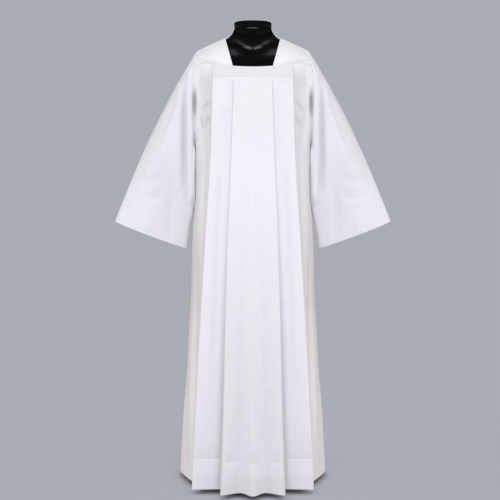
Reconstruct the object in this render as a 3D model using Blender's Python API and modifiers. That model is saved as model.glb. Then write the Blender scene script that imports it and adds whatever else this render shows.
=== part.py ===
"""An alb robe on a limbless dress form: every cut piece of the robe, the form and its stand.

Metres, +Z up. The front faces -Y and the wearer's left is +X. The origin is on the floor under
the middle. Each piece of cloth is an open surface, worked out row by row from the sizes below,
with a Solidify modifier for its wall. Neighbours stop a seam gap short of each other.
"""

import math

import bpy
import numpy as np

# Cloth and seams
CLOTH = 0.0015
SEAM_GAP = 0.0003
HALF_GAP = SEAM_GAP / 2
ARMHOLE_HALF_GAP = 0.00025
LAYER = CLOTH + SEAM_GAP
UNDER_LAYER = 0.0023
SADDLE_GAP = 0.0004
ARMPIT_GAP = 0.0005
FOLD_RADIUS = 0.0011
FLANGE = 0.0025

# Heights of the robe
HEM_Z = 0.015
ARMPIT_Z = 1.113
YOKE_SEAM_Z = 1.330
NECKLINE_Z = 1.376
NECKLINE_SAG = 0.0023
BACK_NECKLINE_Z = 1.425
ARMHOLE_SEAM_Z = 1.378
SHOULDER_TIP_Z = 1.431
COLLAR_Z = 1.471

# Half widths of the robe's top
NECK_CORNER_X = 0.0607
COLLAR_X = 0.0886
YOKE_X = 0.126
SHOULDER_TIP_X = 0.1778
ARMHOLE_X = 0.189
ARMPIT_X = 0.188

# Depths of the robe's top, and how the chest rounds away to the armhole
CHEST_Y = 0.1215
ARMHOLE_Y = 0.060
CHEST_POWER = 3.1
YOKE_LIFT = 0.0026
YOKE_FOOT_LIFT = 2 * FOLD_RADIUS + LAYER
YOKE_LAP = 0.006
LAP_RAMP = (0.120, 0.130)

# Front seam of the shoulder saddle: half width, height
SADDLE_SEAM = ((0.0607, 1.376), (0.126, 1.386), (0.159, 1.387), (0.189, 1.378))

# Armhole and sleeve
SEAM_TILT = math.radians(41)
SLEEVE_BLEND = 0.25
SLEEVE_TOP = ((0.1797, 1.4294), (0.3333, 1.1914), (0.4526, 0.8805))
SLEEVE_COLUMNS = ("along", "under_x", "under_z", "half_depth", "deepest_at")
SLEEVE_ROWS = (
    (0.00, 0.1925, 1.113, 0.060, 0.167),
    (0.25, 0.1926, 1.038, 0.059, 0.240),
    (0.50, 0.1932, 0.960, 0.054, 0.330),
    (0.70, 0.1960, 0.905, 0.049, 0.400),
    (0.85, 0.2085, 0.856, 0.044, 0.440),
    (1.00, 0.2201, 0.792, 0.040, 0.460),
)

# Soft upright folds of the sleeve beside the body: half width, spread, how far out
SLEEVE_FOLDS = ((0.2045, 0.0080, 0.007), (0.2220, 0.0110, -0.009))
SLEEVE_FOLD_TOP_Z = 1.36
SLEEVE_FOLD_FOOT_Z = 0.90
SLEEVE_FOLD_FADE = 0.08
SLEEVE_FOLD_LEAST_Y = 0.02

# Pleated panels, front and back alike: depths are measured from the middle of the robe
PANEL_COLUMNS = (
    "height", "pleat_x", "strip_x", "ridge_y", "trough_y", "edge_y", "strip_in_y", "strip_out_y",
    "pleat_under", "strip_under", "side_in_y",
)
PANEL_ROWS = (
    (1.330, 0.0588, 0.1260, 0.1255, 0.1253, 0.1238, 0.1194, 0.1096, 0.030, 0.007, 0.1062),
    (1.090, 0.0676, 0.1337, 0.1400, 0.1370, 0.1385, 0.1255, 0.1185, 0.029, 0.014, 0.1125),
    (0.830, 0.0787, 0.1507, 0.1550, 0.1470, 0.1530, 0.1300, 0.1260, 0.027, 0.020, 0.1160),
    (0.516, 0.0893, 0.1703, 0.1730, 0.1570, 0.1690, 0.1340, 0.1330, 0.024, 0.025, 0.1120),
    (0.260, 0.0959, 0.1845, 0.1870, 0.1640, 0.1800, 0.1355, 0.1370, 0.022, 0.028, 0.1060),
    (0.015, 0.1041, 0.1983, 0.2000, 0.1700, 0.1900, 0.1360, 0.1390, 0.020, 0.029, 0.1000),
)
TROUGH_SHARE = 0.385

# Side panels: where the side seam runs, and the control point of each half's round
SIDE_COLUMNS = ("height", "seam_x", "seam_y", "front_x", "front_y", "back_x", "back_y")
SIDE_ROWS = (
    (1.387, 0.1865, 0.000, 0.149, 0.0960, 0.149, 0.0960),
    (1.330, 0.1865, 0.000, 0.151, 0.0970, 0.151, 0.0970),
    (1.250, 0.1865, 0.000, 0.160, 0.1000, 0.160, 0.1000),
    (1.180, 0.1865, 0.000, 0.170, 0.1000, 0.170, 0.1000),
    (1.113, 0.1868, 0.000, 0.182, 0.0980, 0.182, 0.0980),
    (1.000, 0.1885, 0.003, 0.188, 0.1000, 0.188, 0.1000),
    (0.924, 0.1905, 0.006, 0.191, 0.1000, 0.190, 0.1000),
    (0.830, 0.1965, 0.010, 0.196, 0.0980, 0.196, 0.0980),
    (0.643, 0.2040, 0.018, 0.203, 0.0950, 0.203, 0.0970),
    (0.516, 0.2128, 0.023, 0.211, 0.0920, 0.212, 0.0960),
    (0.388, 0.2209, 0.028, 0.217, 0.0880, 0.220, 0.0940),
    (0.260, 0.2332, 0.034, 0.222, 0.0790, 0.231, 0.0910),
    (0.015, 0.2486, 0.044, 0.215, 0.0600, 0.245, 0.0860),
)

# Dress form: height, half width, half depth, power of the section's sides (1 for an ellipse)
FORM_SHELL_GAP = CLOTH / 2 + 0.0005
FORM_ROWS = (
    (0.760, 0.060, 0.040, 1.0),
    (0.768, 0.110, 0.072, 1.0),
    (0.785, 0.146, 0.094, 1.0),
    (0.820, 0.163, 0.106, 1.0),
    (0.880, 0.166, 0.108, 1.0),
    (0.960, 0.150, 0.098, 1.0),
    (1.050, 0.134, 0.088, 1.0),
    (1.130, 0.142, 0.094, 1.0),
    (1.210, 0.158, 0.102, 1.0),
    (1.290, 0.164, 0.102, 1.0),
    (1.350, 0.170, 0.096, 1.0),
    (1.390, 0.1745, 0.088, 1.1),
    (1.412, 0.1745, 0.080, 1.3),
    (1.427, 0.1690, 0.073, 1.7),
)
SHOULDER_ROWS = (
    (0.1600, 0.071, 2.4),
    (0.1420, 0.069, 2.4),
    (0.1220, 0.067, 2.4),
    (0.1040, 0.065, 2.4),
    (0.0886, 0.064, 2.4),
)
NECK_ROWS = (
    (1.4840, 0.0690, 0.0620, 1.6),
    (1.4930, 0.0635, 0.0600, 1.0),
    (1.5020, 0.0612, 0.0595, 1.0),
)
FORM_SIDES = 36
NECK_RADIUS = 0.0610
NECK_TOP_Z = 1.5020
CAP_TOP_Z = 1.524
CAP_EDGE = 0.006
CAP_CROWN = 0.0006
CAP_LIP_Z = 0.005
CAP_GROOVE = 0.0015

# Stand
BASE_RADIUS = 0.140
BASE_THICK = 0.008
BASE_EDGE = 0.0025
POLE_RADIUS = 0.0125
SOCKET_RADIUS = 0.024
SOCKET_HEIGHT = 0.040
SOCKET_EDGE = 0.003
COLLAR_RADIUS = 0.026
COLLAR_HEIGHT = 0.030
TURN_SIDES = 36
TUBE_SIDES = 24

# How finely the cloth is divided
ARCH_STEPS = 5
ARMHOLE_STEPS = 11
SLEEVE_RINGS = 9
SKIRT_ROWS = 10
SADDLE_STEPS = 8
CENTRE_STEPS = 6
STRIP_STEPS = 2
ARC_STEPS = 4
PANEL_STEPS = 11
YOKE_STEPS = 3

# How much of the saddle's column spacing the side panel's next two rows keep
MATCHED_ROWS = ((0.6,), (0.25,))

COLLECTION = "alb_robe"

# Colour, roughness, metallic
MATERIALS = {
    "cloth": ((0.86, 0.86, 0.89), 0.85, 0.0),
    "side_cloth": ((0.82, 0.81, 0.80), 0.85, 0.0),
    "form_black": ((0.012, 0.012, 0.014), 0.18, 0.0),
    "stand_metal": ((0.55, 0.56, 0.58), 0.30, 1.0),
}


def remove_objects():
    """Empty the scene."""
    for old in list(bpy.data.objects):
        bpy.data.objects.remove(old, do_unlink=True)


def smooth(at, knots, values):
    """Cubic curve through the values: the slope at a knot is that of its two neighbours' chord."""
    knots = np.asarray(knots, float)
    values = np.asarray(values, float)
    if knots[0] > knots[-1]:
        knots, values = knots[::-1], values[::-1]
    at = np.clip(np.asarray(at, float), knots[0], knots[-1])
    slopes = np.gradient(values, knots)
    low = np.clip(np.searchsorted(knots, at, side="right") - 1, 0, len(knots) - 2)
    width = knots[low + 1] - knots[low]
    s = (at - knots[low]) / width
    start = (1 + 2 * s) * (1 - s) ** 2 * values[low] + s * (1 - s) ** 2 * width * slopes[low]
    end = s * s * (3 - 2 * s) * values[low + 1] + s * s * (s - 1) * width * slopes[low + 1]
    return start + end


def read(rows, columns, name, at):
    """One named column of a table, as a smooth curve over the table's first column."""
    table = np.array(rows)
    return smooth(at, table[:, 0], table[:, columns.index(name)])


def step_up(value, low, high):
    """0 below low, 1 above high, a soft step between."""
    s = np.clip((value - low) / (high - low), 0, 1)
    return s * s * (3 - 2 * s)


def material(slot):
    """The slot's Principled material."""
    found = bpy.data.materials.get(slot)
    if found:
        return found
    colour, roughness, metallic = MATERIALS[slot]
    made = bpy.data.materials.new(slot)
    made.use_nodes = True
    shader = made.node_tree.nodes["Principled BSDF"]
    shader.inputs["Base Color"].default_value = (*colour, 1.0)
    shader.inputs["Roughness"].default_value = roughness
    shader.inputs["Metallic"].default_value = metallic
    return made


def link(name, mesh, slot):
    """A named object on the mesh, in the robe's collection, with its own material."""
    piece = bpy.data.objects.new(name, mesh)
    mesh.materials.append(material(slot))
    bpy.data.collections[COLLECTION].objects.link(piece)
    return piece


def grid_mesh(name, points, closed=False):
    """Mesh of a grid of points (rows, columns, 3); closed joins the last column to the first."""
    rows, columns = points.shape[:2]
    index = np.arange(rows * columns).reshape(rows, columns)
    if closed:
        index = np.hstack((index, index[:, :1]))
    quads = np.stack((index[:-1, :-1], index[:-1, 1:], index[1:, 1:], index[1:, :-1]), axis=-1)
    mesh = bpy.data.meshes.new(name)
    mesh.from_pydata(points.reshape(-1, 3).tolist(), [], quads.reshape(-1, 4).tolist())
    mesh.shade_smooth()
    return mesh


def cloth_piece(name, points, closed=False, slot="cloth"):
    """A sewn piece: the grid is the middle of its wall."""
    piece = link(name, grid_mesh(name, points, closed), slot)
    wall = piece.modifiers.new("wall", "SOLIDIFY")
    wall.thickness = CLOTH
    wall.offset = 0
    wall.use_even_offset = True
    wall.use_quality_normals = True
    return piece


def chest_depth(x):
    """Depth of the chest below the saddle: full in the middle, rounding away to the armhole."""
    return CHEST_Y - (CHEST_Y - ARMHOLE_Y) * (np.abs(x) / ARMHOLE_X) ** CHEST_POWER


def ridge_height(x):
    """Height of the shoulder's ridge, a straight slope from the collar to the shoulder's tip."""
    slope = (SHOULDER_TIP_Z - COLLAR_Z) / (SHOULDER_TIP_X - COLLAR_X)
    return COLLAR_Z + slope * (np.abs(x) - COLLAR_X)


def saddle_seam(x):
    """Height of the seam under the saddle; it dips behind the yoke, which laps over it."""
    knots, heights = np.array(SADDLE_SEAM).T
    dip = YOKE_LAP * (1 - step_up(np.abs(x), *LAP_RAMP))
    return smooth(np.abs(x), knots, heights) - dip


def armhole(samples, face):
    """Points of the armhole and the direction in which cloth crosses its seam.

    A sample runs from 0 at the shoulder's tip to 1 at the saddle's seam, a quarter of an
    ellipse, and on to 2 at the armpit, a second and longer quarter.
    """
    arch = np.clip(samples, 0, 1) * math.pi / 2
    drop = np.clip(samples - 1, 0, 1) * math.pi / 2
    x = ARMHOLE_X + (SHOULDER_TIP_X - ARMHOLE_X) * np.cos(arch)
    x = x + (ARMPIT_X - ARMHOLE_X) * np.sin(drop)
    y = face * ARMHOLE_Y * np.sin(arch) * np.cos(drop)
    z = ARMHOLE_SEAM_Z + (SHOULDER_TIP_Z - ARMHOLE_SEAM_Z) * np.cos(arch)
    z = z - (ARMHOLE_SEAM_Z - ARMPIT_Z) * np.sin(drop)
    tilt = SEAM_TILT * np.cos(arch) * (samples < 1)
    across = np.stack((np.cos(tilt), np.zeros_like(tilt), -np.sin(tilt)), axis=-1)
    return np.stack((x, y, z), axis=-1), across


def mirror(points, side):
    """The points on the wearer's left for side 1, and their mirror image for side -1."""
    return points * np.array((side, 1, 1))


def arch(seam_x, rise, foot):
    """Point of an arch over the shoulder, and the way out of it.

    The arch starts at half width seam_x on the saddle's seam and is a quarter ellipse: depth
    falls from the chest's as the square root of 1 - rise squared while height climbs with rise.
    """
    u = np.clip((seam_x - NECK_CORNER_X) / (ARMHOLE_X - NECK_CORNER_X), 0, 1)
    outside = COLLAR_X + (SHOULDER_TIP_X - COLLAR_X) * u
    top_x = np.where(seam_x < NECK_CORNER_X, seam_x * COLLAR_X / NECK_CORNER_X, outside)
    climb = ridge_height(top_x) - foot
    level = np.sqrt(1 - rise ** 2)
    x = seam_x + (top_x - seam_x) * rise
    depth = chest_depth(seam_x) * level
    z = foot + climb * rise
    out_y = level / chest_depth(seam_x)
    out_z = rise / climb
    size = np.hypot(out_y, out_z)
    return x, depth, z, out_y / size, out_z / size


def saddle_columns():
    """Half widths, on the saddle's seam, of the arches that the saddle is made of."""
    return np.linspace(NECK_CORNER_X, ARMHOLE_X, SADDLE_STEPS + 1)


def saddle(name, side):
    """Shoulder saddle: fore-and-aft arches over the shoulder, from the neck edge to the armhole."""
    swing = np.linspace(-1, 1, 2 * ARCH_STEPS + 1)
    angle = np.abs(swing) * math.pi / 2
    seam_x = saddle_columns()[None, :]
    foot = saddle_seam(seam_x) + HALF_GAP
    x, depth, z = arch(seam_x, np.cos(angle)[:, None], foot)[:3]
    inner = np.stack((x, np.sign(swing)[:, None] * depth, z), axis=-1)[:, :-1]
    rim, across = armhole(np.abs(swing), np.sign(swing))
    rim[:, 2] += HALF_GAP * np.sin(angle)
    last = (rim - across * FLANGE)[:, None]
    edge = (rim - across * ARMHOLE_HALF_GAP)[:, None]
    return cloth_piece(name, mirror(np.concatenate((inner, last, edge), axis=1), side))


def side_start(height):
    """Half width and depth where a side panel starts, hidden under the strip's edge."""
    panel = np.minimum(height, YOKE_SEAM_Z)
    strip_x = read(PANEL_ROWS, PANEL_COLUMNS, "strip_x", panel)
    under = read(PANEL_ROWS, PANEL_COLUMNS, "strip_under", panel)
    depth = read(PANEL_ROWS, PANEL_COLUMNS, "side_in_y", panel)
    return strip_x - under, depth


def side_panel(name, side, face):
    """Side panel: each row is a round from under the strip to the armhole or the side seam.

    A row is a quadratic curve with its control point from the table, and its last stretch
    crosses the seam squarely.
    """
    samples = 1 + np.linspace(0, 1, ARMHOLE_STEPS + 1)[:-1]
    rim, across = armhole(samples, face)
    rim[0, 2] -= SADDLE_GAP
    skirt_z = np.linspace(ARMPIT_Z, HEM_Z, SKIRT_ROWS + 1)
    seam_x = read(SIDE_ROWS, SIDE_COLUMNS, "seam_x", skirt_z)
    seam_y = read(SIDE_ROWS, SIDE_COLUMNS, "seam_y", skirt_z)
    seam = np.stack((seam_x, seam_y, skirt_z), axis=-1)
    along = np.tile((0.0, -face, 0.0), (len(skirt_z), 1))
    end = np.concatenate((rim - across * FLANGE, seam - along * FLANGE))
    last = np.concatenate((rim - across * ARMHOLE_HALF_GAP, seam - along * HALF_GAP))
    last[len(samples), 1] += face * ARMPIT_GAP
    height = end[:, 2]
    start_x, start_y = side_start(height)
    hand = "front" if face < 0 else "back"
    control_x = read(SIDE_ROWS, SIDE_COLUMNS, hand + "_x", height)
    control_y = face * read(SIDE_ROWS, SIDE_COLUMNS, hand + "_y", height)
    start = np.stack((start_x, face * start_y, height), axis=-1)
    control = np.stack((control_x, control_y, height), axis=-1)
    columns = saddle_columns()
    columns = columns[(columns > start_x[0]) & (columns < ARMHOLE_X)]
    even = np.linspace(0, 1, len(columns) + 2)
    bend = start_x[0] - 2 * control_x[0] + end[0, 0]
    slope = control_x[0] - start_x[0]
    matched = (np.sqrt(slope ** 2 + bend * (columns - start_x[0])) - slope) / bend
    t = np.tile(even, (len(height), 1))
    t[0, 1:-1] = matched
    t[1:3, 1:-1] += (matched - even[1:-1]) * np.array(MATCHED_ROWS)
    t = t[:, :, None]
    curve = (1 - t) ** 2 * start[:, None] + 2 * t * (1 - t) * control[:, None]
    curve = curve + t * t * end[:, None]
    top_x = curve[0, :-1, 0]
    curve[0, :-1, 1] = face * chest_depth(top_x)
    curve[0, :-1, 2] = saddle_seam(top_x) - SADDLE_GAP
    points = np.concatenate((curve, last[:, None]), axis=1)
    return cloth_piece(name, mirror(points, side), slot="side_cloth")


def tangent(centre_a, turn_a, centre_b, turn_b):
    """Heading of the straight line from one round fold to the next.

    A turn is the fold's radius, positive where the path bends left round it. The line's
    distance to both centres gives its angle to the line of centres.
    """
    gap = centre_b - centre_a
    distance = np.hypot(gap[:, 0], gap[:, 1])
    lean = np.arcsin(np.clip((turn_b - turn_a) / distance, -1, 1))
    return np.arctan2(gap[:, 1], gap[:, 0]) - lean


def round_fold(centre, turn, heading_in, heading_out):
    """Points of a path that bends round a fold from one heading to the other."""
    sweep = np.mod((heading_out - heading_in) * np.sign(turn), 2 * math.pi) * np.sign(turn)
    share = np.linspace(0, 1, ARC_STEPS + 1)[None, :]
    heading = heading_in[:, None] + sweep[:, None] * share
    x = centre[:, :1] + turn * np.sin(heading)
    y = centre[:, 1:] - turn * np.cos(heading)
    return np.stack((x, y), axis=-1)


def between(start, end, steps):
    """Points strictly between two columns of points."""
    share = (np.arange(1, steps) / steps)[None, :, None]
    return start[:, None] * (1 - share) + end[:, None] * share


def panel_half(height):
    """Plan of half a pleated panel at each height, as the front half faces -Y, middle first.

    The centre panel runs out over a ridge and a trough to its fold, under it to the inner
    fold, out again as the strip to the strip's fold, and under that to the side panel's edge.
    """
    values = {name: read(PANEL_ROWS, PANEL_COLUMNS, name, height) for name in PANEL_COLUMNS[1:]}
    turn = FOLD_RADIUS
    first = np.stack((values["pleat_x"] - turn, turn - values["edge_y"]), axis=-1)
    inner_x = values["pleat_x"] - values["pleat_under"] + turn
    second = np.stack((inner_x, -values["strip_in_y"] - turn), axis=-1)
    third = np.stack((values["strip_x"] - turn, turn - values["strip_out_y"]), axis=-1)
    start_x, start_y = side_start(height)
    end = np.stack((start_x, -start_y - UNDER_LAYER), axis=-1)
    ahead = np.zeros_like(height)
    to_second = tangent(first, turn, second, -turn)
    to_third = tangent(second, -turn, third, turn)
    to_end = tangent(third, turn, end, 0)
    share = (np.arange(CENTRE_STEPS) / CENTRE_STEPS)[None, :]
    near = (1 - np.cos(math.pi * np.minimum(share / TROUGH_SHARE, 1))) / 2
    far = (1 - np.cos(math.pi * np.clip((share - TROUGH_SHARE) / (1 - TROUGH_SHARE), 0, 1))) / 2
    depth = values["ridge_y"][:, None] * (1 - near) + values["trough_y"][:, None] * (near - far)
    depth = depth + values["edge_y"][:, None] * far
    centre = np.stack((share * first[:, :1], -depth), axis=-1)
    arcs = (
        round_fold(first, turn, ahead, to_second),
        round_fold(second, -turn, to_second, to_third),
        round_fold(third, turn, to_third, to_end),
    )
    strip = between(arcs[1][:, -1], arcs[2][:, 0], STRIP_STEPS)
    return np.concatenate((centre, arcs[0], arcs[1], strip, arcs[2], end[:, None]), axis=1)


def pleated_panel(name, face):
    """Front or back panel: the half's plan at each height, and its mirror image."""
    share = np.linspace(0, 1, PANEL_STEPS + 1)
    height = YOKE_SEAM_Z - HALF_GAP + (HEM_Z - YOKE_SEAM_Z + HALF_GAP) * share
    half = panel_half(height)
    other = half[:, :0:-1] * np.array((-1, 1))
    plan = np.concatenate((other, half), axis=1)
    z = np.broadcast_to(height[:, None, None], plan.shape[:2] + (1,))
    points = np.concatenate((plan * np.array((1, -face)), z), axis=2)
    return cloth_piece(name, points)


def yoke(name, face, neckline, sag):
    """Yoke band: lies on the saddles' edges and the side panels, from the seam up to the neck.

    Up to the saddles' seam it follows the chest, and above it the saddles' arches, moved out.
    """
    middle = np.linspace(0, NECK_CORNER_X, YOKE_STEPS + 1)
    lapped = saddle_columns()
    lapped = lapped[(lapped > NECK_CORNER_X) & (lapped < YOKE_X - YOKE_LAP)]
    half = np.concatenate((middle, lapped, (YOKE_X,)))
    foot = saddle_seam(half)
    if neckline > NECKLINE_Z:
        top = np.full_like(half, neckline)
        steps = 3
    else:
        top = smooth(half, *np.array(SADDLE_SEAM).T)
        steps = 1
    top = top - sag * np.clip(1 - (half / NECK_CORNER_X) ** 2, 0, 1)
    climb = arch(half, 1.0, foot)[2] - foot
    top_angle = np.arcsin((top - foot) / climb)
    low = YOKE_SEAM_Z + HALF_GAP
    rows = []
    for share in (0, 0.5):
        z = low + (foot - low) * share
        lift = YOKE_FOOT_LIFT + (YOKE_LIFT - YOKE_FOOT_LIFT) * share
        rows.append(np.stack((half, face * (chest_depth(half) + lift), z), axis=-1))
    for step in range(steps + 1):
        rise = np.sin(top_angle * step / steps)
        x, depth, z, out_y, out_z = arch(half, rise, foot)
        y = face * (depth + YOKE_LIFT * out_y)
        rows.append(np.stack((x, y, z + YOKE_LIFT * out_z), axis=-1))
    points = np.array(rows)
    other = points[:, :0:-1] * np.array((-1, 1, 1))
    return cloth_piece(name, np.concatenate((other, points), axis=1))


def sleeve_samples():
    """Places round half an armhole, top first, and their share of its height."""
    samples = np.concatenate(
        (np.linspace(0, 1, ARCH_STEPS + 1), 1 + np.linspace(0, 1, ARMHOLE_STEPS + 1)[1:])
    )
    points = armhole(samples, 1)[0]
    return samples, (SHOULDER_TIP_Z - points[:, 2]) / (SHOULDER_TIP_Z - ARMPIT_Z)


def sleeve_half(along, share, face):
    """Half of each sleeve ring, top first: a chord from the overarm fold to the underarm fold.

    The depth to each side of the chord is two quarter ellipses that meet where it is deepest,
    and two soft upright folds stand beside the body.
    """
    t = along[:, None]
    first, control, last = (np.array(point) for point in SLEEVE_TOP)
    top = (1 - t) ** 2 * first + 2 * t * (1 - t) * control + t * t * last
    values = {name: read(SLEEVE_ROWS, SLEEVE_COLUMNS, name, along) for name in SLEEVE_COLUMNS[1:]}
    under = np.stack((values["under_x"], values["under_z"]), axis=-1)
    chord = top[:, None] + (under - top)[:, None] * share[None, :, None]
    deepest = values["deepest_at"][:, None]
    above = (deepest - share) / deepest
    below = (share - deepest) / (1 - deepest)
    depth = np.sqrt(np.clip(1 - np.where(share < deepest, above, below) ** 2, 0, 1))
    y = values["half_depth"][:, None] * depth
    height = chord[..., 1]
    span = step_up(height, SLEEVE_FOLD_FOOT_Z, SLEEVE_FOLD_FOOT_Z + SLEEVE_FOLD_FADE)
    span = span * (1 - step_up(height, SLEEVE_FOLD_TOP_Z - SLEEVE_FOLD_FADE, SLEEVE_FOLD_TOP_Z))
    for centre, spread, out in SLEEVE_FOLDS:
        bell = np.exp(-((chord[..., 0] - centre) / spread) ** 2)
        y = y + out * bell * span * np.minimum(y / SLEEVE_FOLD_LEAST_Y, 1)
    return np.stack((chord[..., 0], face * y, height), axis=-1)


def sleeve(name, side):
    """Bell sleeve: the armhole's loop, blended into fanned rings down to the open cuff."""
    samples, share = sleeve_samples()
    along = np.linspace(0, 1, SLEEVE_RINGS + 1)
    halves = []
    for face in (-1, 1):
        rim, across = armhole(samples, face)
        rings = sleeve_half(along, share, face)
        offset = rim + across * FLANGE - rings[0]
        fade = (1 - np.clip(along / SLEEVE_BLEND, 0, 1)) ** 2
        rings = rings + offset[None] * fade[:, None, None]
        start = (rim + across * ARMHOLE_HALF_GAP)[None]
        halves.append(np.concatenate((start, rings)))
    loop = np.concatenate((halves[0], halves[1][:, -2:0:-1]), axis=1)
    return cloth_piece(name, mirror(loop, side), closed=True)


def loft(name, rows, slot):
    """Closed solid through level sections, with a flat cap at each end.

    A section is an ellipse whose half width is scaled by a power of the cosine: over 1, the
    section's sides are more pointed.
    """
    angle = np.arange(FORM_SIDES) * 2 * math.pi / FORM_SIDES
    rows = np.array(rows)
    x = rows[:, 1:2] * np.sign(np.cos(angle)) * np.abs(np.cos(angle)) ** rows[:, 3:4]
    y = rows[:, 2:3] * np.sin(angle)
    z = np.broadcast_to(rows[:, :1], x.shape)
    points = np.stack((x, y, z), axis=-1)
    count = len(rows)
    index = np.arange(count * FORM_SIDES).reshape(count, FORM_SIDES)
    index = np.hstack((index, index[:, :1]))
    quads = np.stack((index[:-1, :-1], index[:-1, 1:], index[1:, 1:], index[1:, :-1]), axis=-1)
    faces = quads.reshape(-1, 4).tolist()
    faces.append(index[0, :-1][::-1].tolist())
    faces.append(index[-1, :-1].tolist())
    mesh = bpy.data.meshes.new(name)
    mesh.from_pydata(points.reshape(-1, 3).tolist(), [], faces)
    mesh.shade_smooth()
    return link(name, mesh, slot)


def torso(name):
    """Dress form: hips, waist and chest, shoulders just under the saddles' ridge, and a neck."""
    slope = (ridge_height(SHOULDER_TIP_X) - COLLAR_Z) / (SHOULDER_TIP_X - COLLAR_X)
    drop = FORM_SHELL_GAP * math.hypot(1, slope)
    shoulders = [(ridge_height(row[0]) - drop, *row) for row in SHOULDER_ROWS]
    return loft(name, FORM_ROWS + tuple(shoulders) + NECK_ROWS, "form_black")


def arc_profile(corner_x, corner_z, radius, start, steps=4):
    """Points of a rounded corner in a turned profile, swept a quarter turn from start."""
    points = []
    for step in range(steps + 1):
        angle = start - math.pi / 2 * step / steps
        points.append((corner_x + radius * math.cos(angle), corner_z + radius * math.sin(angle)))
    return points


def turned(name, profile, sides, slot):
    """Solid of revolution round the Z axis: the profile runs from the top down to the bottom."""
    mesh = bpy.data.meshes.new(name)
    points = [(x, 0, z) for x, z in profile]
    mesh.from_pydata(points, [(i, i + 1) for i in range(len(points) - 1)], [])
    piece = link(name, mesh, slot)
    screw = piece.modifiers.new("turn", "SCREW")
    screw.steps = sides
    screw.render_steps = sides
    screw.use_merge_vertices = True
    screw.merge_threshold = 0.00001
    screw.use_smooth_shade = True
    return piece


def neck_cap(name):
    """Cap on the neck stump: a domed disc with a round lip over a narrow groove."""
    low = NECK_TOP_Z + SEAM_GAP
    lip = NECK_RADIUS - CAP_EDGE
    shoulder = CAP_TOP_Z - CAP_EDGE - 2 * CAP_CROWN
    profile = [(0, CAP_TOP_Z), (lip * 0.7, CAP_TOP_Z - CAP_CROWN)]
    profile += arc_profile(lip, shoulder, CAP_EDGE, math.pi / 2)
    profile += [(NECK_RADIUS, low + CAP_LIP_Z), (NECK_RADIUS - CAP_GROOVE, low + CAP_LIP_Z - CAP_GROOVE)]
    profile += [(NECK_RADIUS - CAP_GROOVE, low), (0, low)]
    return turned(name, profile, TURN_SIDES, "form_black")


def base(name):
    """Round base plate with an eased upper edge."""
    rim = BASE_RADIUS - BASE_EDGE
    profile = [(0, BASE_THICK)]
    profile += arc_profile(rim, BASE_THICK - BASE_EDGE, BASE_EDGE, math.pi / 2)
    profile += [(BASE_RADIUS, 0), (0, 0)]
    return turned(name, profile, TURN_SIDES, "stand_metal")


def socket(name):
    """Boss on the base that holds the pole's foot."""
    low = BASE_THICK + SEAM_GAP
    bore = POLE_RADIUS + SEAM_GAP
    top = low + SOCKET_HEIGHT
    rim = SOCKET_RADIUS - SOCKET_EDGE
    profile = [(bore, low), (bore, top)]
    profile += arc_profile(rim, top - SOCKET_EDGE, SOCKET_EDGE, math.pi / 2)
    profile += [(SOCKET_RADIUS, low), (bore, low)]
    return turned(name, profile, TUBE_SIDES, "stand_metal")


def form_collar(name):
    """Collar round the pole's head, just under the form."""
    top = FORM_ROWS[0][0] - SEAM_GAP
    bore = POLE_RADIUS + SEAM_GAP
    low = top - COLLAR_HEIGHT
    profile = [(bore, low), (bore, top), (COLLAR_RADIUS, top), (COLLAR_RADIUS, low), (bore, low)]
    return turned(name, profile, TUBE_SIDES, "stand_metal")


def pole(name):
    """Pole from the base plate up to the form's underside."""
    low = BASE_THICK + SEAM_GAP
    high = FORM_ROWS[0][0] - SEAM_GAP
    bpy.ops.mesh.primitive_cylinder_add(
        vertices=TUBE_SIDES, radius=POLE_RADIUS, depth=high - low, location=(0, 0, (low + high) / 2)
    )
    piece = bpy.context.object
    piece.name = name
    piece.data.name = name
    piece.data.materials.append(material("stand_metal"))
    for holder in list(piece.users_collection):
        holder.objects.unlink(piece)
    bpy.data.collections[COLLECTION].objects.link(piece)
    return piece


def build():
    """Make every piece."""
    remove_objects()
    robe = bpy.data.collections.new(COLLECTION)
    bpy.context.scene.collection.children.link(robe)
    yoke("front_yoke", -1, NECKLINE_Z, NECKLINE_SAG)
    yoke("back_yoke", 1, BACK_NECKLINE_Z, 0)
    pleated_panel("front_panel", -1)
    pleated_panel("back_panel", 1)
    for side, word in ((1, "left"), (-1, "right")):
        saddle("shoulder_" + word, side)
        side_panel("side_front_" + word, side, -1)
        side_panel("side_back_" + word, side, 1)
        sleeve("sleeve_" + word, side)
    torso("form_torso")
    neck_cap("form_neck_cap")
    form_collar("stand_collar")
    pole("stand_pole")
    socket("stand_socket")
    base("stand_base")


build()
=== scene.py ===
"""The alb robe as it looks: thin sewn cloth with its creases, hems and stitches, on a glossy form.

Metres, +Z up, the front faces -Y and the wearer's left is +X, in the frame's own axes. Each piece
of cloth is a surface of two parameters, worked out as whole arrays from the sizes of the solids at
a finer step, and its creases are added from short tables.
"""

import math

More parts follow.
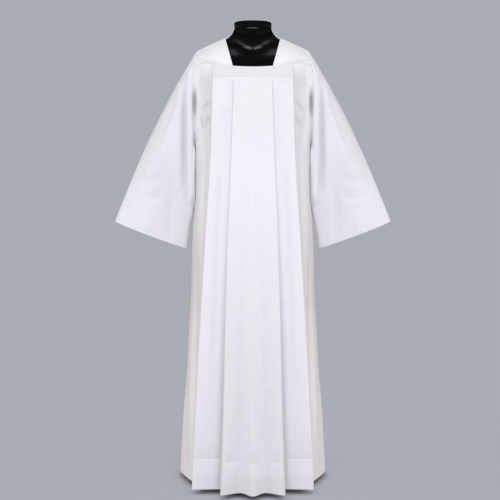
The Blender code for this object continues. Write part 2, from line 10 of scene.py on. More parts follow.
import bpy
import numpy as np
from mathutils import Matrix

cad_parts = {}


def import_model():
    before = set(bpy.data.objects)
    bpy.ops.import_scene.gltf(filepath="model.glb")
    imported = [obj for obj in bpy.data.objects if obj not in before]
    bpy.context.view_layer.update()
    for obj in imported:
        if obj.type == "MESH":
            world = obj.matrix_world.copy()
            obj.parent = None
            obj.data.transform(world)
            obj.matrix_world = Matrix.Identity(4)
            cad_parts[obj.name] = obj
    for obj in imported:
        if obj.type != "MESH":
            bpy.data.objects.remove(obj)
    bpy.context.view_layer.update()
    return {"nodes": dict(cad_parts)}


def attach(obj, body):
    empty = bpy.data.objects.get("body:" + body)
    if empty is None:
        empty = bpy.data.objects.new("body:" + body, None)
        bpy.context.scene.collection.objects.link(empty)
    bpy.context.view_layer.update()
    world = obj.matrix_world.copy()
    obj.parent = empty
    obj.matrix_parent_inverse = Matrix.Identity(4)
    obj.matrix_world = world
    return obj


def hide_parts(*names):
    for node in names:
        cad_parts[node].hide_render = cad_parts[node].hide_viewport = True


MM = 0.001

# Cloth, seams and stitches
CLOTH = 0.0015
SHOWN_WALL = 0.0011
SEAM_GAP = 0.0003
HALF_GAP = SEAM_GAP / 2
SEWN_HALF_GAP = 0.00005
ARMHOLE_HALF_GAP = 0.00025
LAYER = CLOTH + SEAM_GAP
UNDER_LAYER = 0.0023
SADDLE_GAP = 0.0004
ARMPIT_GAP = 0.0005
ARMPIT_EASE = 0.030
FOLD_RADIUS = 0.0011
FLANGE = 0.0025
SEAM_DIP = 0.0007
SEAM_WIDTH = 0.0030
STITCH_PITCH = 0.0036
STITCH_LENGTH = 0.0026
THREAD_RADIUS = 0.00026
# A stitch's sections: share of its half length, then radius and height in the thread's radius
STITCH_SHAPE = ((-1.0, 0.35, -1.1), (-0.62, 1.0, 0.35), (0.62, 1.0, 0.35), (1.0, 0.35, -1.1))
# Close rows and columns of the grids beside stitch lines, from the line or from the piece's edge
LINE_ROWS = (-0.0040, -0.0016, 0.0, 0.0016, 0.0040)
LINE_ROOM = 0.002
SADDLE_EDGE = (0.0, 0.0012, 0.0030, 0.0044, 0.0052, 0.0062)
YOKE_EDGE = (0.0, 0.0012, 0.0030, 0.0040, 0.0048, 0.0062)
YOKE_LINE_ROWS = (-0.0030, -0.0012, 0.0, 0.0012, 0.0030)
YOKE_TOP_ROWS = (0.0060, 0.0048, 0.0040, 0.0032, 0.0012)
CUFF_ROWS = (0.0, 0.0016, 0.0040)
EDGE_ROOM = 0.009
# How far turned-in cloth stands out
BAND_RISE = 0.0003

# Heights of the robe
HEM_Z = 0.015
ARMPIT_Z = 1.113
YOKE_SEAM_Z = 1.330
NECKLINE_Z = 1.376
NECKLINE_SAG = 0.0023
BACK_NECKLINE_Z = 1.425
ARMHOLE_SEAM_Z = 1.378
SHOULDER_TIP_Z = 1.431
COLLAR_Z = 1.471

# Half widths of the robe's top
NECK_CORNER_X = 0.0607
COLLAR_X = 0.0886
YOKE_X = 0.126
SHOULDER_TIP_X = 0.1778
ARMHOLE_X = 0.189
ARMPIT_X = 0.188

# Depths of the robe's top
CHEST_Y = 0.1215
ARMHOLE_Y = 0.060
CHEST_POWER = 3.1
YOKE_LIFT = 0.0026
YOKE_FOOT_LIFT = 2 * FOLD_RADIUS + LAYER
YOKE_LAP = 0.006
YOKE_STITCH_UP = 0.0135
NECK_BAND = 0.0052
SADDLE_FRONT_Y = 0.02
LAP_RAMP = (0.120, 0.130)
SADDLE_SEAM = ((0.0607, 1.376), (0.126, 1.386), (0.159, 1.387), (0.189, 1.378))

# Armhole and sleeve
SEAM_TILT = math.radians(41)
SLEEVE_BLEND = 0.25
SLEEVE_TOP = ((0.1797, 1.4294), (0.3333, 1.1914), (0.4526, 0.8805))
SLEEVE_COLUMNS = ("along", "under_x", "under_z", "half_depth", "deepest_at")
SLEEVE_ROWS = (
    (0.00, 0.1925, 1.113, 0.060, 0.167),
    (0.25, 0.1926, 1.038, 0.059, 0.240),
    (0.50, 0.1932, 0.960, 0.054, 0.330),
    (0.70, 0.1960, 0.905, 0.049, 0.400),
    (0.85, 0.2085, 0.856, 0.044, 0.440),
    (1.00, 0.2201, 0.792, 0.040, 0.460),
)
CUFF_BAND = 0.078
SLEEVE_FOLD_LEAST_Y = 0.02
SLEEVE_REST = 0.0014
SLEEVE_BASE = 0.0320
SLEEVE_HUG = 0.0040

# Pleated panels, front and back alike: depths are measured from the middle of the robe
PANEL_COLUMNS = (
    "height", "pleat_x", "strip_x", "ridge_y", "trough_y", "edge_y", "strip_in_y", "strip_out_y",
    "pleat_under", "strip_under", "side_in_y",
)
PANEL_ROWS = (
    (1.330, 0.0588, 0.1260, 0.1255, 0.1253, 0.1238, 0.1194, 0.1096, 0.030, 0.007, 0.1062),
    (1.090, 0.0676, 0.1337, 0.1400, 0.1370, 0.1385, 0.1255, 0.1185, 0.029, 0.014, 0.1125),
    (0.830, 0.0787, 0.1507, 0.1550, 0.1470, 0.1530, 0.1300, 0.1260, 0.027, 0.020, 0.1160),
    (0.516, 0.0893, 0.1703, 0.1730, 0.1570, 0.1690, 0.1340, 0.1330, 0.024, 0.025, 0.1120),
    (0.260, 0.0959, 0.1845, 0.1870, 0.1640, 0.1800, 0.1355, 0.1370, 0.022, 0.028, 0.1060),
    (0.015, 0.1041, 0.1983, 0.2000, 0.1700, 0.1900, 0.1360, 0.1390, 0.020, 0.029, 0.1000),
)
TROUGH_SHARE = 0.385
STRIP_LIFT_FALL = 0.13
STRIP_RAMP = (0.0586, 0.0645, 0.0018)
HEM_LINES = (0.1187, 0.069)
HEM_DIP_WIDTH = 0.0020

# Side panels: where the side seam runs, and the control point of each half's round
SIDE_COLUMNS = ("height", "seam_x", "seam_y", "front_x", "front_y", "back_x", "back_y")
SIDE_ROWS = (
    (1.387, 0.1865, 0.000, 0.149, 0.0960, 0.149, 0.0960),
    (1.330, 0.1865, 0.000, 0.151, 0.0970, 0.151, 0.0970),
    (1.250, 0.1865, 0.000, 0.160, 0.1000, 0.160, 0.1000),
    (1.180, 0.1865, 0.000, 0.170, 0.1000, 0.170, 0.1000),
    (1.113, 0.1868, 0.000, 0.182, 0.0980, 0.182, 0.0980),
    (1.000, 0.1885, 0.003, 0.188, 0.1000, 0.188, 0.1000),
    (0.924, 0.1905, 0.006, 0.191, 0.1000, 0.190, 0.1000),
    (0.830, 0.1965, 0.010, 0.196, 0.0980, 0.196, 0.0980),
    (0.643, 0.2040, 0.018, 0.203, 0.0950, 0.203, 0.0970),
    (0.516, 0.2128, 0.023, 0.211, 0.0920, 0.212, 0.0960),
    (0.388, 0.2209, 0.028, 0.217, 0.0880, 0.220, 0.0940),
    (0.260, 0.2332, 0.034, 0.222, 0.0790, 0.231, 0.0910),
    (0.015, 0.2486, 0.044, 0.215, 0.0600, 0.245, 0.0860),
)
SIDE_TOP_BEND = 0.045
# Depths between which a side panel's creases give way to the flank's
FLANK_Y = (0.045, 0.075)

# Dress form: height, half width, half depth, power of the section's sides (1 for an ellipse)
FORM_SHELL_GAP = CLOTH / 2 + 0.0005
FORM_ROWS = (
    (0.760, 0.060, 0.040, 1.0),
    (0.768, 0.110, 0.072, 1.0),
    (0.785, 0.146, 0.094, 1.0),
    (0.820, 0.163, 0.106, 1.0),
    (0.880, 0.166, 0.108, 1.0),
    (0.960, 0.150, 0.098, 1.0),
    (1.050, 0.134, 0.088, 1.0),
    (1.130, 0.142, 0.094, 1.0),
    (1.210, 0.158, 0.102, 1.0),
    (1.290, 0.164, 0.102, 1.0),
    (1.350, 0.170, 0.096, 1.0),
    (1.390, 0.1745, 0.088, 1.1),
    (1.412, 0.1745, 0.080, 1.3),
    (1.427, 0.1690, 0.073, 1.7),
)
SHOULDER_ROWS = (
    (0.1600, 0.071, 2.4),
    (0.1420, 0.069, 2.4),
    (0.1220, 0.067, 2.4),
    (0.1040, 0.065, 2.4),
    (0.0886, 0.064, 2.4),
)
NECK_ROWS = (
    (1.4840, 0.0690, 0.0620, 1.6),
    (1.4930, 0.0635, 0.0600, 1.0),
    (1.5020, 0.0612, 0.0595, 1.0),
)
FORM_INSET = 0.997
# Half of the soft line over the breastbone, in the folds' columns below
FORM_NECK_LINE = ((0, 1424.5), (17, 1428.5), (47.4, 1445), (92, 1468))
FORM_RIDGE = (12, 5.4, 0.5)
NECK_RADIUS = 0.0610
NECK_TOP_Z = 1.5020
CAP_TOP_Z = 1.524
CAP_EDGE = 0.006
CAP_CROWN = 0.0006
CAP_LIP_Z = 0.005
CAP_GROOVE = 0.0008
BEAD_Z = 1.4950
BEAD_RISE = 0.0050
BEAD_WIDTH = 0.0034

# Soft folds, in millimetres: the path's points (half width or depth, height), how wide a fold is to
# each side, how far it stands out (in, where negative), and the share of its path where it is fullest
SLEEVE_FRONT = (
    (((213, 1370), (218.5, 1260), (220, 1174.9), (221, 1034.5), (212, 941.1), (193.2, 918)), 7.8, -10.2, 0.5),
    (((198.5, 1330), (200.9, 1178), (202, 1034.5), (199.4, 950)), 8, 7, 0.45),
    (((234, 1340), (237, 1170), (242, 1000)), 11, 5, 0.45),
    (((230, 1320), (270, 1225), (320, 1125)), 12, -7, 0.6),
    (((252, 1225), (298, 1140), (338, 1045)), 11, -6.4, 0.5),
    (((238, 1250), (280, 1165), (310, 1080)), 11, 4, 0.45),
    (((370, 1024.4), (330, 1018), (283.4, 1026)), 7, -3, 0.4),
    (((356, 996), (320, 990), (295, 997)), 6, 2.2, 0.55),
    (((375, 964), (320, 958), (284.1, 965)), 7, -3, 0.5),
    (((430, 934), (390, 920.5)), 4.6, -3.2, 0.5),
    (((260, 1040), (265, 930), (270, 825)), 14, -4.6, 0.6),
    (((325, 950), (340, 890), (348, 840)), 13, 3.6, 0.75),
)
SLEEVE_BACK = (
    (((219, 1350), (224, 1200), (230, 1040), (220, 930)), 11, -9, 0.45),
    (((199, 1320), (202, 1150), (204, 1000)), 9, 7, 0.5),
    (((235, 1330), (285, 1210), (345, 1070)), 13, -3, 0.4),
    (((255, 1200), (295, 1120), (325, 1030)), 12, 2.6, 0.55),
    (((275, 1060), (280, 950), (290, 840)), 15, -3.4, 0.65),
    (((355, 990), (370, 920), (380, 860)), 13, 2.4, 0.7),
)
SIDE_FRONT = (
    (((131.4, 1265.2), (148, 1250), (166.2, 1229.1)), 4.6, -8.5, 0.45),
    (((131.6, 1218.5), (145, 1202), (158.3, 1177.9)), 4.6, -8.5, 0.4),
    (((166.2, 1224.7), (166, 1200), (162.4, 1173.2)), 4.2, -6, 0.4),
    (((140, 1285), (158, 1260), (174, 1235)), 7, 4.5, 0.5),
    (((142, 1235), (152, 1222), (160, 1200)), 6, 4, 0.5),
    (((168, 1165), (169.9, 1140.3), (169.5, 1065)), 9, 3, 0.5),
    (((163.3, 1371.6), (168, 1350), (172.1, 1321.2)), 5, -3.6, 0.4),
    (((150, 1160), (158, 950), (168, 700)), 8, -6, 0.3),
    (((170, 1100), (174, 900), (179, 620)), 8, 3, 0.4),
    (((178, 900), (188, 550), (204, 120)), 7.5, -8, 0.6),
    (((195, 620), (208, 360), (220, 15)), 8, 3.6, 0.65),
    (((208, 520), (220, 280), (233, 15)), 6, -6, 0.6),
)
SIDE_BACK = (
    (((133, 1290), (148, 1250), (164, 1200)), 7, -3.6, 0.45),
    (((146, 1300), (160, 1260), (172, 1220)), 7, 2.6, 0.5),
    (((138, 1190), (152, 1150), (160, 1090)), 7, -3.4, 0.4),
    (((156, 1100), (166, 850), (176, 600)), 9, -3.6, 0.4),
    (((178, 1060), (186, 800), (196, 520)), 9, 3, 0.45),
    (((182, 660), (198, 380), (212, 60)), 11, -4.6, 0.6),
    (((206, 560), (222, 300), (236, 15)), 10, 3.6, 0.7),
)
FLANK = (
    (((-32, 1080), (-36, 800), (-42, 450)), 11, -5, 0.35),
    (((-12, 1060), (-8, 750), (-2, 350)), 10, 1.2, 0.45),
    (((-56, 900), (-60, 600), (-50, 250)), 10, 1.2, 0.55),
    (((16, 1050), (26, 780), (40, 400)), 11, -4.8, 0.4),
    (((36, 980), (46, 650), (62, 200)), 11, 1.4, 0.6),
    (((10, 600), (20, 320), (24, 15)), 12, -5, 0.7),
    (((-30, 500), (-20, 260), (-8, 15)), 11, -4.4, 0.7),
)
PANEL_FOLDS = (
    (((76, 156), (74.5, 132), (74, 108)), 11, -3, 0.5),
    (((2, 156), (1, 132), (0, 108)), 12, -3, 0.5),
    (((23, 1260), (26, 1000), (27, 700)), 11, -1.2, 0.5),
    (((45, 1150), (50, 820), (56, 420)), 13, 1.6, 0.6),
    (((94, 1260), (108, 800), (124, 340)), 13, -1.4, 0.5),
    (((112, 1220), (128, 800), (148, 200)), 12, 1.6, 0.55),
)
SADDLE_FOLDS = (
    (((90, 1386), (118, 1393), (134, 1397), (170, 1404)), 3.4, -2.2, 0.5),
    (((136, 1406), (156, 1408), (178, 1404)), 5, 1.2, 0.5),
    (((150, 1430), (162, 1412), (174, 1396)), 7, 1.2, 0.5),
    (((108, 1430), (122, 1418), (140, 1408)), 8, -1, 0.5),
)
# Painted shade along the cloth's creases, dips and broad folds, in the folds' columns, with a tone in place
# of the rise
SLEEVE_PAINTED_SHADE = (
    (((213, 1370), (218.5, 1250), (220.5, 1080), (214, 930)), 8.5, 0.75, 0.45),
    (((230, 1360), (295, 1200), (355, 1060), (410, 940)), 24, 0.42, 0.4),
    (((270, 1120), (300, 1040), (330, 970)), 30, 0.25, 0.5),
    (((421.7, 929.9), (399, 923.4)), 6, 0.2, 0.5),
)
SADDLE_PAINTED_SHADE = (
    (((174, 1397.5), (140, 1393.5), (90, 1380)), 4.2, 0.6, 0.35),
    (((170, 1415), (150, 1418), (125, 1410)), 13, 0.22, 0.5),
)
BODICE_PAINTED_SHADE = (
    (((131.4, 1265.2), (148, 1250), (166.2, 1229.1)), 5, 0.6, 0.45),
    (((131.6, 1218.5), (145, 1202), (158.3, 1177.9)), 5, 0.6, 0.4),
    (((166.2, 1224.7), (166, 1200), (162.4, 1173.2)), 5, 0.35, 0.4),
    (((162, 1350), (166, 1330), (164, 1300)), 5, 0.3, 0.5),
)
PANEL_PAINTED_SHADE = (
    (((76, 156), (74.5, 132), (74, 115)), 13, 0.35, 0.7),
    (((2, 156), (1, 132), (0, 115)), 15, 0.35, 0.7),
)
# Width of the painted shade beside each pleat's fold, on the strips
PLEAT_SHADE_WIDTH = 0.0110
CREVICE_Z = (1.195, 1.262, 1.325)
CREVICE_DEPTH = 0.0170
CREVICE_WIDTH = 0.0080

# Steps of the surfaces
ROW_STEP = 0.0085
COLUMN_STEP_COUNT = 40

# Studio: the horizon's tone is the far floor's, so that the two meet unseen
SURROUND = (0.96, 0.96, 0.98)
SURROUND_STRENGTH = 0.52
FLOOR = (0.80, 0.83, 0.89)
GLOSS_SURROUND = (0.03, 0.03, 0.033)
HORIZON = tuple(a * b for a, b in zip(SURROUND, FLOOR))
# Soft boxes: name, place, size, power, and whether gloss mirrors it
SOFT_BOXES = (
    ("key", (-0.8, -3.8, 2.4), 2.2, 47, False),
    ("fill", (0.9, -3.8, 2.3), 2.2, 42, False),
    ("back", (0.0, 3.4, 2.8), 2.4, 66, True),
    ("right side", (-3.4, -1.2, 1.1), 1.6, 24, False),
    ("left side", (3.4, -1.2, 1.1), 1.6, 24, False),
)
# The box that lights only the form: name, place, size, power, and how far it is stretched sideways
FORM_BOX = ("top", (0.0, -0.4, 3.6), 0.9, 50, 1.6)
LIT_Z = 1.0
FLOOR_REACH = 30
CAMERA_PLACE = (0.0, -3.2, 1.17)
CAMERA_PITCH = 6.87
CAMERA_LENS = 70.2
CAMERA_SHIFT = -0.0057

# Cottons: colour, shade, how much handling shows, and a tint of the lower part. The shade is the
# colour of handling marks and of painted shade. The side and sleeve cottons are copies of the white
# cotton tinted as painted shade, warm on the sides and cool on the sleeves, and the lower tint is
# painted warm shade
COTTONS = {
    "white cotton": ((0.900, 0.876, 0.925), (0.700, 0.670, 0.705), 0.10),
    "sleeve cotton with painted shade": ((0.885, 0.872, 0.925), (0.680, 0.672, 0.705), 0.12),
    "side cotton with painted shade": ((0.905, 0.884, 0.915), (0.690, 0.670, 0.680), 0.16, (1.0, 0.968, 0.915)),
}
# Glossy finishes: colour, smear's colour, least roughness, its spread, stretch, metal, mirror
GLOSSES = {
    "form gloss": ((0.002, 0.002, 0.0021), (0.004, 0.004, 0.0043), 0.22, 0.08, (4.0, 4.0, 4.0), 0.0, 0.1),
    "brushed steel": ((0.50, 0.51, 0.53), (0.60, 0.61, 0.63), 0.20, 0.25, (3.0, 3.0, 60.0), 1.0, 0.5),
}


# Curves and surfaces

def smooth(at, knots, values):
    """Cubic curve through the values: the slope at a knot is that of its two neighbours' chord."""
    knots = np.asarray(knots, float)
    values = np.asarray(values, float)
    if knots[0] > knots[-1]:
        knots, values = knots[::-1], values[::-1]
    at = np.clip(np.asarray(at, float), knots[0], knots[-1])
    slopes = np.gradient(values, knots)
    low = np.clip(np.searchsorted(knots, at, side="right") - 1, 0, len(knots) - 2)
    width = knots[low + 1] - knots[low]
    s = (at - knots[low]) / width
    start = (1 + 2 * s) * (1 - s) ** 2 * values[low] + s * (1 - s) ** 2 * width * slopes[low]
    end = s * s * (3 - 2 * s) * values[low + 1] + s * s * (s - 1) * width * slopes[low + 1]
    return start + end


def read(rows, columns, name, at):
    """One named column of a table, as a smooth curve over the table's first column."""
    table = np.array(rows)
    return smooth(at, table[:, 0], table[:, columns.index(name)])


def step_up(value, low, high):
    """0 below low, 1 above high, a soft step between."""
    s = np.clip((value - low) / (high - low), 0, 1)
    return s * s * (3 - 2 * s)


def bell(distance, width):
    """1 at no distance, and softly less over the width to each side."""
    return np.exp(-(distance / width) ** 2)


def apart(points, others):
    """How far each point is from its other."""
    return np.linalg.norm(points - others, axis=-1)


def steps(points, axis):
    """Lengths of the steps from neighbour to neighbour along one axis of a grid."""
    return np.linalg.norm(np.diff(points, axis=axis), axis=-1)


def rows_between(top, foot, step, lines=()):
    """Heights from top down to foot at an even step, and close rows at each stitch line."""
    even = np.linspace(top, foot, max(2, round(abs(top - foot) / step) + 1))
    if not len(lines):
        return even
    near = (np.array(lines)[:, None] + np.array(LINE_ROWS)).ravel()
    far = np.abs(even[:, None] - near[None]).min(axis=1) > LINE_ROOM
    far[[0, -1]] = True
    return np.sort(np.concatenate((even[far], near)))[::-1]


def with_line(shares, close, room):
    """Shares in order, with the close ones in place of those within the room of their middle."""
    return np.sort(np.concatenate((shares[np.abs(shares - close[2]) > room], close)))


def chest_depth(x):
    """Depth of the chest below the saddle: full in the middle, rounding away to the armhole."""
    return CHEST_Y - (CHEST_Y - ARMHOLE_Y) * (np.abs(x) / ARMHOLE_X) ** CHEST_POWER


def ridge_height(x):
    """Height of the shoulder's ridge, a straight slope from the collar to the shoulder's tip."""
    slope = (SHOULDER_TIP_Z - COLLAR_Z) / (SHOULDER_TIP_X - COLLAR_X)
    return COLLAR_Z + slope * (np.abs(x) - COLLAR_X)


def saddle_seam(x):
    """Height of the seam under the saddle; it dips behind the yoke, which laps over it."""
    knots, heights = np.array(SADDLE_SEAM).T
    dip = YOKE_LAP * (1 - step_up(np.abs(x), *LAP_RAMP))
    return smooth(np.abs(x), knots, heights) - dip


def armhole(samples, face):
    """Points of the armhole and the direction in which cloth crosses its seam.

    A sample runs from 0 at the shoulder's tip to 1 at the saddle's seam, a quarter of an
    ellipse, and on to 2 at the armpit, a second and longer quarter.
    """
    arch_turn = np.clip(samples, 0, 1) * math.pi / 2
    drop = np.clip(samples - 1, 0, 1) * math.pi / 2
    x = ARMHOLE_X + (SHOULDER_TIP_X - ARMHOLE_X) * np.cos(arch_turn)
    x = x + (ARMPIT_X - ARMHOLE_X) * np.sin(drop)
    y = face * ARMHOLE_Y * np.sin(arch_turn) * np.cos(drop)
    z = ARMHOLE_SEAM_Z + (SHOULDER_TIP_Z - ARMHOLE_SEAM_Z) * np.cos(arch_turn)
    z = z - (ARMHOLE_SEAM_Z - ARMPIT_Z) * np.sin(drop)
    tilt = SEAM_TILT * np.cos(arch_turn) * (samples < 1)
    across = np.stack((np.cos(tilt), np.zeros_like(tilt), -np.sin(tilt)), axis=-1)
    return np.stack((x, y, z), axis=-1), across


def arch(seam_x, rise, foot):
    """Point of an arch over the shoulder, and the way out of it.

    The arch starts at half width seam_x on the saddle's seam and is a quarter ellipse: depth
    falls from the chest's as the square root of 1 - rise squared while height climbs with rise.
    """
    u = np.clip((seam_x - NECK_CORNER_X) / (ARMHOLE_X - NECK_CORNER_X), 0, 1)
    outside = COLLAR_X + (SHOULDER_TIP_X - COLLAR_X) * u
    top_x = np.where(seam_x < NECK_CORNER_X, seam_x * COLLAR_X / NECK_CORNER_X, outside)
    climb = ridge_height(top_x) - foot
    level = np.sqrt(1 - rise ** 2)
    x = seam_x + (top_x - seam_x) * rise
    depth = chest_depth(seam_x) * level
    z = foot + climb * rise
    out_y = level / chest_depth(seam_x)
    out_z = rise / climb
    size = np.hypot(out_y, out_z)
    return x, depth, z, out_y / size, out_z / size


def surface_normals(points, inside, closed=False):
    """Unit normals of a grid of points: the cross of its two directions, turned away from inside."""
    if closed:
        wide = np.concatenate((points[:, -1:], points, points[:, :1]), axis=1)
        across = np.gradient(wide, axis=1)[:, 1:-1]
    else:
        across = np.gradient(points, axis=1)
    normal = np.cross(across, np.gradient(points, axis=0))
    normal = normal / np.maximum(np.linalg.norm(normal, axis=-1, keepdims=True), 1e-9)
    if (normal * (points - inside)).sum() < 0:
        normal = -normal
    return normal


def fold(across, height, path, half_width, rise, fullest_at):
    """One soft fold: a bell across its path, which swells from both ends of the path.

    The swell is the sine of the share of the path, bent so that it is fullest where the table
    says. The path and the half width are in millimetres, and the answer is in the rise's unit.
    """
    path = np.array(path) * MM
    marks = np.linspace(0, 1, len(path))
    fine = np.linspace(0, 1, 6 * (len(path) - 1) + 1)
    line = np.stack((smooth(fine, marks, path[:, 0]), smooth(fine, marks, path[:, 1])), axis=-1)
    nearest = np.full(across.shape, np.inf)
    share = np.zeros(across.shape)
    for start, end, low, high in zip(line[:-1], line[1:], fine[:-1], fine[1:]):
        run = end - start
        along = (across - start[0]) * run[0] + (height - start[1]) * run[1]
        along = np.clip(along / (run @ run), 0, 1)
        gap = np.hypot(across - start[0] - along * run[0], height - start[1] - along * run[1])
        share = np.where(gap < nearest, low + (high - low) * along, share)
        nearest = np.minimum(gap, nearest)
    swell = np.sin(math.pi * share ** (math.log(0.5) / math.log(fullest_at)))
    return rise * bell(nearest, half_width * MM) * np.abs(swell) ** 0.8


def folds(across, height, table, unit=MM):
    """Sum of a table's soft folds, in metres, or a painted shade where the unit is 1."""
    total = np.zeros(across.shape)
    for row in table:
        total = total + fold(across, height, *row)
    return total * unit


def ripple(points, size):
    """Faint unevenness of hung cloth: a sum of slow waves in different directions."""
    x, y, z = points[..., 0], points[..., 1], points[..., 2]
    wave = np.sin(31 * x + 9 * z + 1.3) + np.sin(47 * y - 13 * z + 0.4) + np.sin(23 * z + 17 * x)
    wave = wave + 0.6 * np.sin(71 * x - 29 * z + 2.1) + 0.5 * np.sin(83 * z + 37 * y + 5.0)
    return size * wave / 4.1


def seam_dip(distance, depth=SEAM_DIP, width=SEAM_WIDTH):
    """How far cloth is drawn in beside a seam: a bell of the distance to it."""
    return -depth * bell(distance, width)


def hem_dips(z, depths):
    """Dips at the hem's stitch line and at the line below it."""
    return sum(seam_dip(z - line_z, depth, HEM_DIP_WIDTH) for line_z, depth in zip(HEM_LINES, depths))


# Meshes

def smooth_mesh(name, points, faces):
    """Smooth-shaded mesh of points and faces."""
    mesh = bpy.data.meshes.new(name)
    mesh.from_pydata(points.reshape(-1, 3).tolist(), [], faces)
    mesh.shade_smooth()
    return mesh


def grid_quads(rows, columns, closed):
    """Corner numbers of a grid's squares, row by row."""
    index = np.arange(rows * columns).reshape(rows, columns)
    if closed:
        index = np.hstack((index, index[:, :1]))
    corners = (index[:-1, :-1], index[:-1, 1:], index[1:, 1:], index[1:, :-1])
    return np.stack(corners, axis=-1).reshape(-1, 4)


def ring_mesh(name, rings, from_top):
    """Mesh of level rings, from the top down or from the foot up, shut at both ends."""
    count, sides = rings.shape[:2]
    quads = grid_quads(count, sides, True)
    ends = np.stack((np.arange(sides)[::-1], np.arange(sides) + (count - 1) * sides))
    if from_top:
        quads = quads[:, (0, 3, 2, 1)]
        ends = ends[:, ::-1]
    return smooth_mesh(name, rings, quads.tolist() + ends.tolist())


def grid_mesh(name, points, tone, closed=False):
    """Mesh of a grid of points, with a UV map in metres along and across the cloth.

    The tone attribute runs from 0, white, to 1, where the cloth looks greyest; it mostly holds
    painted shade, in creases, dips and crevices and beside folds. The grid's outer edges are
    sharp, so that a sewn edge shades like the cloth beside it.
    """
    rows, columns = points.shape[:2]
    mesh = smooth_mesh(name, points, grid_quads(rows, columns, closed).tolist())
    wide = np.concatenate((points, points[:, :1]), axis=1) if closed else points
    across = np.concatenate((np.zeros((rows, 1)), np.cumsum(steps(wide, 1), axis=1)), axis=1)
    across = across - across[:, across.shape[1] // 2][:, None]
    along = np.concatenate((np.zeros((1, wide.shape[1])), np.cumsum(steps(wide, 0), axis=0)))
    place = np.stack((across, -along), axis=-1)
    corners = (place[:-1, :-1], place[:-1, 1:], place[1:, 1:], place[1:, :-1])
    uv = mesh.uv_layers.new(name="cloth")
    uv.data.foreach_set("uv", np.stack(corners, axis=-2).astype(np.float32).ravel())
    painted_shade = mesh.attributes.new("tone", "FLOAT", "POINT")
    painted_shade.data.foreach_set("value", np.broadcast_to(tone, (rows, columns)).astype(np.float32).ravel())
    ends = np.empty(2 * len(mesh.edges), dtype=np.int32)
    mesh.edges.foreach_get("vertices", ends)
    row, column = np.divmod(ends.reshape(-1, 2), columns)
    outer = np.all(row == 0, axis=1) | np.all(row == rows - 1, axis=1)
    if not closed:
        outer |= np.all(column == 0, axis=1) | np.all(column == columns - 1, axis=1)
    sharp = mesh.attributes.new("sharp_edge", "BOOLEAN", "EDGE")
    sharp.data.foreach_set("value", outer)
    return mesh


def put(name, data):
    """A new object in the scene."""
    made = bpy.data.objects.new(name, data)
    bpy.context.scene.collection.objects.link(made)
    return made


def show(name, mesh, slot, finish, *nodes):
    """A finished piece on the robe's one body, in place of its solids."""
    piece = put(name, mesh)
    mesh.materials.append(finish)
    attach(piece, "root")
    if nodes:
        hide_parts(*nodes)
    return piece


def cloth(node, points, finish, tone, slot, closed):
    """A sewn piece: the grid is the middle of its wall."""
    mesh = grid_mesh(node + "_cloth", points, tone, closed)
    piece = show(node + "_cloth", mesh, slot, finish, node)
    wall = piece.modifiers.new("wall", "SOLIDIFY")
    wall.thickness = SHOWN_WALL
    wall.offset = 0
    wall.use_even_offset = True
    wall.use_quality_normals = True
    return piece


def mirror(points, side):
    """The points on the wearer's left for side 1, and their mirror image for side -1."""
    return points * np.array((side, 1, 1))


def spread(at, length, values):
    """Rows of values read off evenly along a line."""
    return np.stack([np.interp(at, length, values[:, k]) for k in range(3)], axis=-1)


def stitches(name, runs, finish, slot):
    """Stitches along lines on the cloth, joined in one mesh.

    Each run is (points, normals). A stitch is a short bar of round section, thickest in the
    middle, whose ends sink into the cloth.
    """
    shares, radii, drops = np.array(STITCH_SHAPE).T[..., None]
    turns = np.arange(6) * math.pi / 3
    bar = np.stack(np.broadcast_arrays(
        shares * STITCH_LENGTH / 2,
        radii * np.cos(turns) * THREAD_RADIUS,
        (radii * np.sin(turns) + drops) * THREAD_RADIUS,
    ), axis=-1).reshape(-1, 3)
    parts = []
    for line, out in runs:
        length = np.concatenate(((0,), np.cumsum(steps(line, 0))))
        count = int(length[-1] / STITCH_PITCH)
        at = (np.arange(count) + 0.5) * length[-1] / count
        ahead = spread(at, length, np.gradient(line, length, axis=0))
        ahead = ahead / np.linalg.norm(ahead, axis=-1, keepdims=True)
        side = np.cross(spread(at, length, out), ahead)
        side = side / np.linalg.norm(side, axis=-1, keepdims=True)
        up = np.cross(ahead, side)
        axes = np.stack((ahead, side, up), axis=1)
        parts.append((spread(at, length, line) + up * SHOWN_WALL / 2)[:, None] + bar @ axes)
    points = np.concatenate(parts)
    ring = np.arange(6)
    after = (ring + 1) % 6
    quads = np.concatenate([
        np.stack((6 * k + ring, 6 * k + after, 6 * k + 6 + after, 6 * k + 6 + ring), axis=-1)
        for k in range(3)
    ])
    first = np.arange(len(points)) * len(bar)
    faces = (first[:, None, None] + quads).reshape(-1, 4).tolist()
    faces += (first[:, None] + ring[::-1]).tolist()
    faces += (first[:, None] + 18 + ring).tolist()
    return show(name, smooth_mesh(name, points, faces), slot, finish)


# Pieces of the robe

def sew(node, side, points, out, tone, runs, finishes, slot="white_cloth", closed=False):
    """A finished piece, worked out for the wearer's left: its cloth, its stitches and its cut.

    A run picks a line of the grid for stitches. The finishes are the cloth's and the thread's.
    """
    points = mirror(points, side)
    out = mirror(out, side)
    piece = cloth(node, points, finishes[0], np.clip(tone, 0, 1), slot, closed)
    line = stitches(node + "_stitches", [(points[run], out[run]) for run in runs], finishes[1], slot)
    declare(piece, points, closed)


